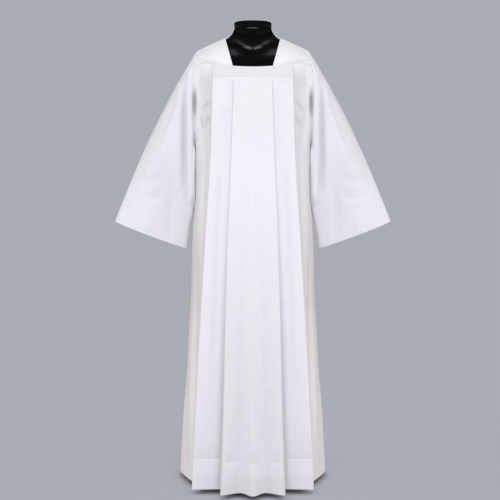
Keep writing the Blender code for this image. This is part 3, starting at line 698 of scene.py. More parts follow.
def saddle(side, word, finishes):
    """Shoulder saddle: fore-and-aft arches over the shoulder, from the neck edge to the armhole.

    A narrow band at the neck edge is turned in double and stitched, so it stands a little proud.
    """
    swing = np.linspace(-1, 1, 97)
    angle = np.abs(swing) * math.pi / 2
    wide = np.linspace(NECK_CORNER_X + EDGE_ROOM, ARMHOLE_X, 40)
    seam_x = np.concatenate((NECK_CORNER_X + np.array(SADDLE_EDGE), wide))[None, :]
    foot = saddle_seam(seam_x) + HALF_GAP
    x, depth, z = arch(seam_x, np.cos(angle)[:, None], foot)[:3]
    inner = np.stack((x, np.sign(swing)[:, None] * depth, z), axis=-1)[:, :-1]
    rim, across = armhole(np.abs(swing), np.sign(swing))
    rim[:, 2] += HALF_GAP * np.sin(angle)
    outer = np.stack((rim - across * FLANGE, rim - across * ARMHOLE_HALF_GAP), axis=1)
    points = np.concatenate((inner, outer), axis=1)
    out = surface_normals(points, np.array((0.13, 0.0, 1.30)))
    x, y, z = np.moveaxis(points, -1, 0)
    from_neck = apart(points, points[:, :1])
    move = folds(x, z, SADDLE_FOLDS) * (y < SADDLE_FRONT_Y) + ripple(points, 0.0003)
    move = move + seam_dip(apart(points, points[:, -1:]))
    move = move + 0.0004 * (1 - step_up(from_neck, NECK_BAND, NECK_BAND + 0.0012))
    move = move + seam_dip(from_neck - NECK_BAND, 0.0003, 0.0010)
    lapped = step_up(z - foot[:, :1], 0.004, 0.016)
    points = points + out * (move * lapped)[..., None]
    x, y, z = np.moveaxis(points, -1, 0)
    # Painted shade along a crease by the saddle's seam and over a broad fold, on the front half
    tone = folds(x, z, SADDLE_PAINTED_SHADE, 1) * (y < SADDLE_FRONT_Y)
    runs = [np.s_[2:-2, 3]]
    sew("shoulder_" + word, side, points, out, tone, runs, finishes)


def panel_values(height, *names):
    """Columns of the panels' table at the heights."""
    return [read(PANEL_ROWS, PANEL_COLUMNS, name, height) for name in names]


def side_values(height, *names):
    """Columns of the side panels' table at the heights."""
    return [read(SIDE_ROWS, SIDE_COLUMNS, name, height) for name in names]


def side_start(height):
    """Half width and depth where a side panel starts, hidden under the strip's edge."""
    panel = np.minimum(height, YOKE_SEAM_Z)
    strip_x, under, depth = panel_values(panel, "strip_x", "strip_under", "side_in_y")
    return strip_x - under, depth


def crevice(height):
    """How deep the cloth is drawn in at the armhole, beside the sleeve: a bump over the height."""
    low, middle, high = CREVICE_Z
    return CREVICE_DEPTH * step_up(height, low, middle) * (1 - step_up(height, middle, high))


def side_points(hand, face):
    """Side panel: each row is a round from under the strip to the armhole or the side seam.

    A row is a quadratic curve with its control point from the table, eased from row to row
    across the armpit, and its last stretch crosses the seam squarely. The top rows bend over to
    the saddle's seam.
    """
    drop = 1 - (1 - np.linspace(0, 1, 44)[:-1]) ** 1.4
    samples = 1 + np.arcsin(drop) * 2 / math.pi
    rim, across = armhole(samples, face)
    rim[0, 2] -= SADDLE_GAP
    skirt_z = rows_between(ARMPIT_Z, HEM_Z, ROW_STEP, HEM_LINES)
    seam = np.stack((*side_values(skirt_z, "seam_x", "seam_y"), skirt_z), axis=-1)
    ahead = np.array((0.0, -face, 0.0))
    turned = step_up(samples, 1.80, 2.0)[:, None]
    inward = across * (1 - turned) + ahead * turned
    end = np.concatenate((rim - inward * FLANGE, seam - ahead * FLANGE))
    last = np.concatenate((rim - across * ARMHOLE_HALF_GAP, seam - ahead * HALF_GAP))
    last[len(samples), 1] += face * ARMPIT_GAP
    height = end[:, 2]
    start_x, start_y = side_start(height)
    control_x, control_y = side_values(height, hand + "_x", hand + "_y")
    start = np.stack((start_x, face * start_y, height), axis=-1)[:, None]
    control = np.stack((control_x, face * control_y, height), axis=-1)[:, None]
    share = np.linspace(0, 1, COLUMN_STEP_COUNT)
    t = share[None, :, None]
    curve = (1 - t) ** 2 * start + 2 * t * (1 - t) * control + t * t * end[:, None]
    clear = np.abs(height - ARMPIT_Z) > ARMPIT_EASE
    eased = step_up(share, 0.2, 0.5) * (1 - step_up(share, 0.95, 1.0))
    for column, part in enumerate(eased):
        for k in (0, 1):
            even = smooth(height, height[clear], curve[clear, column, k])
            curve[:, column, k] += part * (even - curve[:, column, k])
    top = (1 - np.clip((height[0] - height) / SIDE_TOP_BEND, 0, 1))[:, None] ** 2
    top_x = curve[..., 0]
    curve[..., 1] = top * face * chest_depth(top_x) + (1 - top) * curve[..., 1]
    curve[..., 2] += top * (saddle_seam(top_x) - SADDLE_GAP - height[0])
    return height, np.concatenate((curve, last[:, None]), axis=1)


def side_panel(side, word, hand, face, finishes):
    """Side panel with its creases, drawn in at the armhole, with painted shade beside the strip and in its
    creases.
    """
    height, points = side_points(hand, face)
    out = surface_normals(points, np.array((0.10, 0.0, 0.7)))
    x, y, z = np.moveaxis(points, -1, 0)
    toward = step_up(y * face, *FLANK_Y)
    move = folds(x, z, SIDE_FRONT if face < 0 else SIDE_BACK) * toward
    move = move + folds(y, z, FLANK) * (1 - toward)
    share = np.linspace(0, 1, points.shape[1])[None, :]
    move = move * np.where(move > 0, step_up(share, 0.10, 0.30), step_up(share, 0.0, 0.06))
    move = move + ripple(points, 0.0008) * step_up(share, 0.05, 0.20)
    from_seam = apart(points, points[:, -1:])
    drawn_in = crevice(z) * bell(from_seam, CREVICE_WIDTH)
    move = move * step_up(from_seam, 0.0, 0.012) + seam_dip(from_seam) - drawn_in
    move = move * step_up(height[0] - z, 0.0, 0.012) + hem_dips(z, (0.0005, 0.0003))
    move = move + BAND_RISE * (1 - step_up(z, HEM_LINES[0], HEM_LINES[0] + 0.002))
    points = points + out * move[..., None]
    x, y, z = np.moveaxis(points, -1, 0)
    # Painted shade: on the chest darker beside the strip and in the creases, on the skirt darker from the hem
    # up to the waist, and darkest in the crevice at the armhole
    chest = step_up(z, 1.06, 1.20)
    bodice_painted_shade = 0.80 * (1 - step_up(x, 0.140, 0.180)) * (1 - step_up(z, 1.325, 1.385))
    bodice_painted_shade = bodice_painted_shade + folds(x, z, BODICE_PAINTED_SHADE, 1) * (y * face > FLANK_Y[0])
    low = 0.02 + 0.56 * step_up(z, 0.30, 0.75)
    tone = bodice_painted_shade * chest + low * (1 - chest) + 1.1 * drawn_in / CREVICE_DEPTH
    tone = tone + 0.40 * chest * bell(x - panel_values(z, "strip_x")[0], 0.0045)
    runs = [np.s_[int(np.argmin(np.abs(height - HEM_LINES[0]))), 1:-1]]
    node = "side_" + hand + "_" + word
    sew(node, side, points, out, tone, runs, finishes, "side_cloth")


def tangent(centre_a, turn_a, centre_b, turn_b):
    """Heading of the straight line from one round fold to the next.

    A turn is the fold's radius, positive where the path bends left round it. The line's
    distance to both centres gives its angle to the line of centres.
    """
    gap = centre_b - centre_a
    distance = np.hypot(gap[:, 0], gap[:, 1])
    lean = np.arcsin(np.clip((turn_b - turn_a) / distance, -1, 1))
    return np.arctan2(gap[:, 1], gap[:, 0]) - lean


def round_fold(centre, turn, heading_in, heading_out, steps=8):
    """Points of a path that bends round a fold from one heading to the other."""
    sweep = np.mod((heading_out - heading_in) * np.sign(turn), 2 * math.pi) * np.sign(turn)
    share = np.linspace(0, 1, steps + 1)[None, :]
    heading = heading_in[:, None] + sweep[:, None] * share
    x = centre[:, :1] + turn * np.sin(heading)
    y = centre[:, 1:] - turn * np.cos(heading)
    return np.stack((x, y), axis=-1)


def between(start, end, steps):
    """Points strictly between two columns of points."""
    share = (np.arange(1, steps) / steps)[None, :, None]
    return start[:, None] * (1 - share) + end[:, None] * share


def panel_half(height):
    """Plan of half a pleated panel at each height, as the front half faces -Y, middle first.

    The centre panel runs out over a ridge and a trough to its fold, under it to the inner
    fold, out again as the strip to the strip's fold, and under that to the side panel's edge.
    """
    values = dict(zip(PANEL_COLUMNS[1:], panel_values(height, *PANEL_COLUMNS[1:])))
    turn = FOLD_RADIUS
    first = np.stack((values["pleat_x"] - turn, turn - values["edge_y"]), axis=-1)
    inner_x = values["pleat_x"] - values["pleat_under"] + turn
    second = np.stack((inner_x, -values["strip_in_y"] - turn), axis=-1)
    third = np.stack((values["strip_x"] - turn, turn - values["strip_out_y"]), axis=-1)
    start_x, start_y = side_start(height)
    end = np.stack((start_x, -start_y - UNDER_LAYER), axis=-1)
    ahead = np.zeros_like(height)
    to_second = tangent(first, turn, second, -turn)
    to_third = tangent(second, -turn, third, turn)
    to_end = tangent(third, turn, end, 0)
    share = (np.arange(26) / 26)[None, :]
    near = (1 - np.cos(math.pi * np.minimum(share / TROUGH_SHARE, 1))) / 2
    far = (1 - np.cos(math.pi * np.clip((share - TROUGH_SHARE) / (1 - TROUGH_SHARE), 0, 1))) / 2
    depth = values["ridge_y"][:, None] * (1 - near) + values["trough_y"][:, None] * (near - far)
    depth = depth + values["edge_y"][:, None] * far
    centre = np.stack((share * first[:, :1], -depth), axis=-1)
    arcs = (
        round_fold(first, turn, ahead, to_second),
        round_fold(second, -turn, to_second, to_third),
        round_fold(third, turn, to_third, to_end),
    )
    under = between(arcs[0][:, -1], arcs[1][:, 0], 5)
    strip = between(arcs[1][:, -1], arcs[2][:, 0], 18)
    lap = between(arcs[2][:, -1], end, 5)
    parts = (centre, arcs[0], under, arcs[1], strip, arcs[2], lap, end[:, None])
    return np.concatenate(parts, axis=1)


def strip_lift(wide, fallen):
    """How far the strips' tops stand out to the yoke's foot, less and less below its seam.

    Beside the pleat the lift rises over a ramp, which is narrowest at the seam.
    """
    top = dict(zip(PANEL_COLUMNS, PANEL_ROWS[0]))
    inner_x = top["pleat_x"] - top["pleat_under"]
    out_share = (wide - inner_x) / (top["strip_x"] - inner_x)
    strip_y = top["strip_in_y"] + (top["strip_out_y"] - top["strip_in_y"]) * out_share
    lift = np.clip(chest_depth(wide) + YOKE_FOOT_LIFT - strip_y, 0, 1)
    eased = (1 - np.clip(fallen / STRIP_LIFT_FALL, 0, 1)) ** 2
    near, far, closer = STRIP_RAMP
    return lift * eased * step_up(wide, near, far - closer * eased)


def pleated_panel(hand, face, finishes):
    """Front or back panel: the half's plan at each height, and its mirror image.

    Every layer at one place moves out or in together, so the folds keep their room.
    """
    height = rows_between(YOKE_SEAM_Z - SEWN_HALF_GAP, HEM_Z, ROW_STEP, HEM_LINES)
    half = panel_half(height)
    plan = np.concatenate((half[:, :0:-1] * np.array((-1, 1)), half), axis=1)
    x = plan[..., 0]
    z = np.broadcast_to(height[:, None], x.shape)
    wide = np.abs(x)
    fallen = YOKE_SEAM_Z - z
    move = folds(wide, z, PANEL_FOLDS) + ripple(np.stack((x, 0 * x, z), axis=-1), 0.0008)
    move = (move + seam_dip(fallen)) * step_up(fallen, 0.0, 0.03) + seam_dip(fallen, 0.0001)
    move = move + strip_lift(wide, fallen) + hem_dips(z, (0.0007, 0.0004))
    points = np.stack((x, -face * (plan[..., 1] - move), z), axis=-1)
    out = surface_normals(points, np.array((0.0, 0.0, 0.7)))
    pleat_x, strip_x = panel_values(z, "pleat_x", "strip_x")
    hem_z, lower_z = HEM_LINES
    # Painted shade: in the dips above the hem, beside each pleat's fold, and on the strips towards the pleat.
    # The cloth is also darker on the chest, on the centre panel towards the hem, on the strips just above the
    # hem's stitch line, and below the lower hem line
    centre = 1 - step_up(wide, pleat_x - 0.004, pleat_x)
    low = step_up(1.1 - z, 0.0, 0.95)
    painted_hollow_shade = folds(wide, z, PANEL_PAINTED_SHADE, 1) * (z > hem_z - 0.001)
    tone = 0.12 * step_up(z, 1.02, 1.22) + centre * (0.06 + 0.30 * low + painted_hollow_shade)
    beside = bell(np.maximum(wide - pleat_x, 0), PLEAT_SHADE_WIDTH)
    inward = 1 - step_up(wide, pleat_x, strip_x)
    above_hem = np.exp(-np.clip(z - hem_z, 0, 1) / 0.05) * step_up(z, hem_z - 0.0008, hem_z)
    tone = tone + (1 - centre) * (above_hem * 0.35 + low * (0.95 * beside + 0.22 * inward))
    tone = tone + 0.22 * (1 - step_up(z, lower_z - 0.0008, lower_z + 0.0008))
    runs = [np.s_[int(np.argmin(np.abs(height - hem_z))), 1:-1]]
    sew(hand + "_panel", 1, points, out, tone, runs, finishes)


def yoke(hand, face, neckline, sag, finishes):
    """Yoke band: lies on the saddles' edges and the side panels, from the seam up to the neck.

    Up to the saddles' seam it follows the chest, and above it the saddles' arches, moved out.
    """
    half = np.concatenate((np.linspace(0, YOKE_X - EDGE_ROOM, 44), YOKE_X - np.array(YOKE_EDGE[::-1])))
    foot = saddle_seam(half)
    low_neck = neckline <= NECKLINE_Z
    top = smooth(half, *np.array(SADDLE_SEAM).T) if low_neck else np.full_like(half, neckline)
    top = top - sag * np.clip(1 - (half / NECK_CORNER_X) ** 2, 0, 1)
    climb = arch(half, 1.0, foot)[2] - foot
    top_angle = np.arcsin((top - foot) / climb)
    low = YOKE_SEAM_Z + SEWN_HALF_GAP
    stitch_z = YOKE_SEAM_Z + YOKE_STITCH_UP
    near_foot = (stitch_z + np.array(YOKE_LINE_ROWS) - low) / (foot[0] - low)
    flat_z = with_line(rows_between(1.0, 0.0, 0.09)[::-1], near_foot, 0.08)
    share = flat_z[:-1, None]
    z = low + (foot - low) * share
    lift = YOKE_FOOT_LIFT + (YOKE_LIFT - YOKE_FOOT_LIFT) * share
    flat_part = np.stack((np.broadcast_to(half, z.shape), face * (chest_depth(half) + lift), z), axis=-1)
    count = 8 if low_neck else 22
    near_top = 1 - np.array(YOKE_TOP_ROWS) / (top[0] - foot[0])
    reach = with_line(np.linspace(0, 1, count + 1), near_top, 0.06 * 8 / count)
    x, depth, z, out_y, out_z = arch(half, np.sin(top_angle * reach[:, None]), foot)
    over = np.stack((x, face * (depth + YOKE_LIFT * out_y), z + YOKE_LIFT * out_z), axis=-1)
    points = np.concatenate((flat_part, over))
    points = np.concatenate((points[:, :0:-1] * np.array((-1, 1, 1)), points), axis=1)
    out = surface_normals(points, np.array((0.0, 0.0, 1.25)))
    x, _, z = np.moveaxis(points, -1, 0)
    from_top = apart(points, points[-1:])
    from_side = np.abs(YOKE_X - np.abs(x))
    move = BAND_RISE * (1 - step_up(from_top, 0.0040, 0.0052)) + seam_dip(z - stitch_z, 0.0003, 0.0014)
    move = move + seam_dip(from_top - 0.0040, 0.0002, 0.0012) + seam_dip(from_side - 0.004, 0.0002, 0.0012)
    move = move + ripple(points, 0.0002) + seam_dip(z - low, 0.0001, 0.0026)
    points = points + out * np.maximum(move, -0.0006)[..., None]
    z = points[..., 2]
    # Painted shade at the top-stitch line and above it, which leaves the band below the line lighter as
    # painted light, over an even grey
    tone = 0.14 + 0.22 * step_up(z, stitch_z - 0.0006, stitch_z + 0.0006) + 0.30 * bell(z - stitch_z, 0.0016)
    row = int(np.argmin(np.abs(flat_z - near_foot[2])))
    top_row = len(flat_z) - 1 + int(np.argmin(np.abs(reach - near_top[2])))
    runs = [np.s_[row, 2:-2], np.s_[top_row, 2:-2], np.s_[1:-2, 3], np.s_[1:-2, -4]]
    sew(hand + "_yoke", 1, points, out, tone, runs, finishes)


def sleeve_share(samples):
    """Share of the armhole's height at each sample, from the shoulder's tip to the armpit."""
    points = armhole(samples, 1)[0]
    return (SHOULDER_TIP_Z - points[:, 2]) / (SHOULDER_TIP_Z - ARMPIT_Z)


def sleeve_half(along, share, face):
    """Half of each sleeve ring, top first: a chord from the overarm fold to the underarm fold.

    The depth to each side of the chord is two quarter ellipses that meet where it is deepest.
    """
    t = along[..., None]
    first, control, last = (np.array(point) for point in SLEEVE_TOP)
    top = (1 - t) ** 2 * first + 2 * t * (1 - t) * control + t * t * last
    values = {name: read(SLEEVE_ROWS, SLEEVE_COLUMNS, name, along) for name in SLEEVE_COLUMNS[1:]}
    under = np.stack((values["under_x"], values["under_z"]), axis=-1)
    chord = top + (under - top) * share[None, :, None]
    deepest = values["deepest_at"]
    above = (deepest - share) / deepest
    below = (share - deepest) / (1 - deepest)
    depth = np.sqrt(np.clip(1 - np.where(share < deepest, above, below) ** 2, 0, 1))
    y = values["half_depth"] * depth
    return np.stack((chord[..., 0], face * y, chord[..., 1]), axis=-1)


def sleeve_points(share, samples, along):
    """Rings of a sleeve: the armhole's loop first, blended into the fanned rings below it."""
    halves = []
    for face in (-1, 1):
        rim, across = armhole(samples, face)
        rings = sleeve_half(along, share, face)
        fade = (1 - np.clip(along / SLEEVE_BLEND, 0, 1)) ** 2
        rings = rings + (rim + across * FLANGE - rings[0])[None] * fade[..., None]
        halves.append(np.concatenate(((rim + across * ARMHOLE_HALF_GAP)[None], rings)))
    return np.concatenate((halves[0], halves[1][:, -2:0:-1]), axis=1)


def sleeve(side, word, finishes):
    """Bell sleeve: the armhole's loop, blended into fanned rings down to the open cuff.

    The rows follow the cuff's band, which has the same width all round. Under the arm the
    sleeve rests against the side panels and is rounded between its two faces.
    """
    samples = np.concatenate((np.linspace(0, 1, 20), 1 + np.linspace(0, 1, 50)[1:]))
    share = sleeve_share(samples)
    ahead = np.linspace(0, 1, 60)[:, None] * np.ones((1, len(share)))
    band = CUFF_BAND / steps(sleeve_half(ahead, share, 1), 0).sum(axis=0)
    near = np.array(CUFF_ROWS) / CUFF_BAND
    cuff = np.concatenate((near, np.linspace(0.12, 1, 10)))[:, None]
    body = np.unique(np.concatenate((np.linspace(0, 1, 62)[:-1], 1 - near[:0:-1] * 0.15)))[:, None]
    points = sleeve_points(share, samples, np.concatenate((body * (1 - band), 1 - band + cuff * band)))
    under = len(share) - 1
    loop_share = np.concatenate((share, share[-2:0:-1]))[None, :]
    z = points[..., 2]
    closer = np.maximum(points[:, under, 0] - side_values(z[:, under], "seam_x")[0] - SLEEVE_REST, 0)
    span = step_up(z, 0.90, 0.95) * (1 - step_up(z, 1.15, 1.19))
    points[..., 0] -= closer[:, None] * span * step_up(loop_share, 0.75, 1.0)
    hangs = step_up(z, 0.90, 0.98) * (1 - step_up(z, 1.10, 1.17))
    hangs = hangs * step_up(apart(points, points[:1]), 0.002, 0.025) * step_up(loop_share, 0.70, 0.95)
    points[..., 1] = np.sign(points[..., 1]) * np.hypot(points[..., 1], SLEEVE_BASE * hangs)
    points[..., 0] -= SLEEVE_HUG * hangs * np.minimum(np.abs(points[..., 1]) / SLEEVE_BASE, 1) ** 2
    out = surface_normals(points, points.mean(axis=1, keepdims=True), closed=True)
    x, y, z = np.moveaxis(points, -1, 0)
    flat = np.minimum(np.abs(y) / SLEEVE_FOLD_LEAST_Y, 1)
    move = np.where(y < 0, folds(x, z, SLEEVE_FRONT), folds(x, z, SLEEVE_BACK)) * flat
    from_arm = apart(points, points[:1])
    to_cuff = apart(points, points[-1:])
    inner = bell(from_arm, CREVICE_WIDTH) * crevice(z)
    move = (move + ripple(points, 0.0010)) * step_up(from_arm, 0.0, 0.014) + seam_dip(from_arm)
    move = move + seam_dip(to_cuff - CUFF_BAND, 0.0006, 0.0022) - 0.75 * inner
    move = move + BAND_RISE * (1 - step_up(to_cuff, CUFF_BAND, CUFF_BAND + 0.002))
    # Painted shade along the sleeve's creases and broad folds and in the crevice at the armhole, over an even
    # grey
    tone = 0.15 + folds(x, z, SLEEVE_PAINTED_SHADE, 1) * flat + 0.9 * inner / CREVICE_DEPTH
    points = points + out * move[..., None]
    runs = [np.s_[1 + len(body), np.append(np.arange(points.shape[1]), 0)]]
    sew("sleeve_" + word, side, points, out, tone, runs, finishes, closed=True)


def declare(piece, points, closed):
    """Says what the piece was cut to: its width, length and flat area."""
    wide = np.concatenate((points, points[:, :1]), axis=1) if closed else points
    width = steps(wide, 1).sum(axis=1)
    length = steps(points, 0).sum(axis=0)
    edge_a = wide[1:, :-1] - wide[:-1, :-1]
    edge_b = wide[:-1, 1:] - wide[:-1, :-1]
    area = np.linalg.norm(np.cross(edge_a, edge_b), axis=-1).sum()
    print("cut", piece.name, round(width.max(), 3), round(length.max(), 3), round(area, 4))
    flat = (float(width.max()), float(length.max()))
    area = min(float(area), flat[0] * flat[1])


# Form and stand

def form(finish):
    """Dress form: level sections, half ellipses bent towards a point, one smooth round on another.

    A soft raised line runs down from both sides of the neck and meets over the breastbone, and
    a bead crosses the front and back of the neck under its cap.
    """
    slope = (ridge_height(SHOULDER_TIP_X) - COLLAR_Z) / (SHOULDER_TIP_X - COLLAR_X)
    drop = FORM_SHELL_GAP * math.hypot(1, slope)
    shoulders = [(ridge_height(row[0]) - drop, *row) for row in SHOULDER_ROWS]
    table = np.array(FORM_ROWS + tuple(shoulders) + NECK_ROWS)
    knots = table[:, 0]
    z = np.concatenate([np.linspace(a, b, 7)[:-1] for a, b in zip(knots[:-1], knots[1:])] + [knots[-1:]])
    angle = np.arange(144) * math.pi / 72
    wide, deep, power = (smooth(z, knots, table[:, k])[:, None] for k in (1, 2, 3))
    fade = step_up(z, 1.47, 1.49)[:, None]
    inset = FORM_INSET * (1 - fade) + fade
    cosine = np.cos(angle)
    x = wide * inset * cosine * ((cosine ** 2 + 0.05) / 1.05) ** ((power - 1) / 2)
    y = deep * inset * np.sin(angle)
    points = np.stack(np.broadcast_arrays(x, y, z[:, None]), axis=-1)
    out = surface_normals(points, np.array((0.0, 0.0, 1.15)), closed=True)
    line = [(-x, z) for x, z in FORM_NECK_LINE[:0:-1]] + list(FORM_NECK_LINE)
    x, y, z = np.moveaxis(points, -1, 0)
    ridge = folds(x, z, ((line, *FORM_RIDGE),)) * (y < 0)
    bead = BEAD_RISE * bell(z - BEAD_Z, BEAD_WIDTH) * np.sin(angle) ** 12
    points = points + out * (ridge + bead)[..., None]
    return show("form_body", ring_mesh("form_body", points, False), "form_black", finish, "form_torso")


def neck_cap(finish):
    """Cap on the neck stump: a turned profile with a round lip over a narrow groove."""
    low = NECK_TOP_Z + SEAM_GAP
    lip = NECK_RADIUS - CAP_EDGE
    shoulder = CAP_TOP_Z - CAP_EDGE - 2 * CAP_CROWN
    bend = np.linspace(math.pi / 2, 0, 13)[1:]
    crown = np.linspace(0, 1, 9)[1:]
    radius, z = np.concatenate((
        np.stack((lip * crown, CAP_TOP_Z - 2 * CAP_CROWN * crown ** 2), axis=-1),
        np.stack((lip + CAP_EDGE * np.cos(bend), shoulder + CAP_EDGE * np.sin(bend)), axis=-1),
        np.array((
            (NECK_RADIUS, low + CAP_LIP_Z + 0.0008),
            (NECK_RADIUS - 0.0003, low + CAP_LIP_Z),
            (NECK_RADIUS - CAP_GROOVE, low + CAP_LIP_Z - CAP_GROOVE),
            (NECK_RADIUS - CAP_GROOVE, low),
        )),
    )).T[..., None]
    angle = np.arange(120) * math.pi / 60
    points = np.stack(np.broadcast_arrays(radius * np.cos(angle), radius * np.sin(angle), z), axis=-1)
    return show("form_cap", ring_mesh("form_cap", points, True), "form_black", finish, "form_neck_cap")


# Finishes

class Nodes:
    """Short calls for the nodes of one tree."""

    def __init__(self, tree):
        self.tree = tree

    def fill(self, node, inputs):
        """Gives a node's sockets, by name or number, a value or another socket each."""
        for name, value in inputs.items():
            if isinstance(value, bpy.types.NodeSocket):
                self.tree.links.new(value, node.inputs[name])
            else:
                node.inputs[name].default_value = value

    def add(self, kind, inputs=None, **settings):
        """A node of the kind."""
        made = self.tree.nodes.new(kind)
        for name, value in settings.items():
            setattr(made, name, value)
        self.fill(made, inputs or {})
        return made

    def math(self, operation, first, second=0.0):
        """One arithmetic step."""
        return self.add("ShaderNodeMath", {0: first, 1: second}, operation=operation).outputs[0]

    def total(self, *terms):
        """Sum of sockets, each times its weight."""
        parts = [self.math("MULTIPLY", value, weight) for value, weight in terms]
        whole = parts[0]
        for part in parts[1:]:
            whole = self.math("ADD", whole, part)
        return whole

    def noise(self, place, scale, detail, rough=0.5):
        """Noise at a place."""
        given = {0: place, "Scale": scale, "Detail": detail, "Roughness": rough}
        return self.add("ShaderNodeTexNoise", given).outputs[0]

    def threads(self, place, detail, *counts):
        """Sum of two noises drawn out along the threads, each with its cells in a metre each way."""
        drawn = [self.add("ShaderNodeMapping", {0: place, "Scale": (*count, 1.0)}) for count in counts]
        return self.math("ADD", *(self.noise(node.outputs[0], 1.0, detail) for node in drawn))

    def mix(self, share, first, second, blend_type="MIX"):
        """Colour between two, each a socket or red, green and blue."""
        ends = [c if isinstance(c, bpy.types.NodeSocket) else (*c, 1) for c in (first, second)]
        given = {0: share, 6: ends[0], 7: ends[1]}
        return self.add("ShaderNodeMix", given, data_type="RGBA", blend_type=blend_type).outputs[2]

    def bump(self, strength, distance, height):
        """Normals of a fine height."""
        given = {"Strength": strength, "Distance": distance, "Height": height}
        return self.add("ShaderNodeBump", given).outputs[0]

    def place(self):
        """Place in the object's own axes."""
        return self.add("ShaderNodeTexCoord").outputs["Object"]


def new_group(name, inputs, outputs):
    """An empty node group with its sockets, and its two end nodes."""
    tree = bpy.data.node_groups.new(name, "ShaderNodeTree")
    for socket, kind, value in inputs:
        made = tree.interface.new_socket(socket, in_out="INPUT", socket_type=kind)
        if value is not None:
            made.default_value = value
    for socket, kind in outputs:
        tree.interface.new_socket(socket, in_out="OUTPUT", socket_type=kind)
    return tree, tree.nodes.new("NodeGroupInput"), tree.nodes.new("NodeGroupOutput")


def weave_group():
    """Plain weave: the product of a sine across and one along, with slubs and soft handling marks."""
    tree, given, result = new_group(
        "plain weave",
        (("Cloth UV", "NodeSocketVector", None), ("Thread", "NodeSocketFloat", 0.0007),
         ("Colour", "NodeSocketColor", (0.9, 0.9, 0.9, 1)), ("Shade", "NodeSocketColor", (0.8, 0.8, 0.8, 1)),
         ("Handling", "NodeSocketFloat", 0.3), ("Tone", "NodeSocketFloat", 0.0)),
        (("Colour", "NodeSocketColor"), ("Height", "NodeSocketFloat"), ("Roughness", "NodeSocketFloat")),
    )
    n = Nodes(tree)
    uv, thread, colour, shade, handling, painted_shade = given.outputs[:6]
    parts = n.add("ShaderNodeSeparateXYZ", {0: uv})
    turn = n.math("DIVIDE", math.pi, thread)
    waves = [n.math("SINE", n.math("MULTIPLY", parts.outputs[k], turn)) for k in (0, 1)]
    cell = n.math("MULTIPLY", *waves)
    slub = n.threads(uv, 2.0, (900.0, 14.0), (11.0, 800.0))
    streak = n.math("SUBTRACT", n.threads(uv, 3.0, (240.0, 7.0), (8.0, 210.0)), 1.0)
    crush = n.noise(uv, 55.0, 4.0)
    marks = n.noise(uv, 9.0, 3.0)
    # The tone adds the cloth's own handling marks, slubs and streaks to the painted shade from the mesh's
    # tone attribute
    tone = n.total((marks, handling), (slub, 0.06), (streak, 0.30), (painted_shade, 1.0))
    n.fill(result, {
        "Colour": n.mix(tone, colour, shade),
        "Height": n.total((cell, 0.35), (slub, 0.8), (crush, 1.4), (streak, 0.65)),
        "Roughness": n.math("ADD", n.math("MULTIPLY", slub, 0.08), 0.76),
    })
    return tree


def polish_group():
    """Gloss with faint smears: two noises, one stretched, give the roughness and a fine height."""
    tree, given, result = new_group(
        "handled gloss",
        (("Place", "NodeSocketVector", None), ("Least", "NodeSocketFloat", 0.14),
         ("Spread", "NodeSocketFloat", 0.12), ("Stretch", "NodeSocketVector", (4.0, 4.0, 4.0))),
        (("Roughness", "NodeSocketFloat"), ("Height", "NodeSocketFloat"), ("Tone", "NodeSocketFloat")),
    )
    n = Nodes(tree)
    place, least, spread_out, stretch = given.outputs[:4]
    drawn = n.add("ShaderNodeVectorMath", {0: place, 1: stretch}, operation="MULTIPLY")
    smear = n.noise(drawn.outputs[0], 3.0, 5.0, 0.6)
    n.fill(result, {
        "Roughness": n.math("ADD", n.math("MULTIPLY", smear, spread_out), least),
        "Height": n.noise(place, 420.0, 2.0),
        "Tone": smear,
    })
    return tree


def new_material(name):
    """A material with nothing but its Principled shader."""
    made = bpy.data.materials.new(name)
    made.use_nodes = True
    return Nodes(made.node_tree), made.node_tree.nodes["Principled BSDF"], made


def cloth_finish(name, weave, colour, shade, handling, low_painted_shade_tint=None):
    """Matt cotton: woven colour and height on the piece's own UV map, with a little sheen."""
    n, shader, made = new_material(name)
    woven = n.add("ShaderNodeGroup", {
        "Cloth UV": n.add("ShaderNodeUVMap", uv_map="cloth").outputs[0],
        "Colour": (*colour, 1),
        "Shade": (*shade, 1),
        "Handling": handling,
        "Tone": n.add("ShaderNodeAttribute", attribute_name="tone").outputs["Fac"],
    }, node_tree=weave)
    tone = woven.outputs["Colour"]
    # Painted warm shade: the lower part is tinted warmer, fully below 0.70 m and fading out by 1.08 m
    if low_painted_shade_tint:
        height = n.add("ShaderNodeSeparateXYZ", {0: n.place()}).outputs[2]
        low = n.add("ShaderNodeMapRange", {0: height, 1: 1.08, 2: 0.70, 3: 0.0, 4: 1.0})
        tone = n.mix(low.outputs[0], tone, low_painted_shade_tint, "MULTIPLY")
    n.fill(shader, {
        "Base Color": tone,
        "Roughness": woven.outputs["Roughness"],
        "Normal": n.bump(0.30, 0.0003, woven.outputs["Height"]),
        "Sheen Weight": 0.12,
        "Sheen Roughness": 0.5,
        "Specular IOR Level": 0.25,
    })
    return made


def thread_finish():
    """Sewing thread: white, with its twist as fine slanted bands."""
    n, shader, made = new_material("sewing thread")
    given = {0: n.place(), "Scale": 900.0, "Distortion": 0.5}
    twist = n.add("ShaderNodeTexWave", given, bands_direction="DIAGONAL").outputs["Fac"]
    n.fill(shader, {
        "Base Color": n.mix(twist, (0.80, 0.80, 0.83), (0.88, 0.88, 0.90)),
        "Roughness": 0.55,
        "Normal": n.bump(0.4, 0.0001, twist),
        "Sheen Weight": 0.2,
    })
    return made


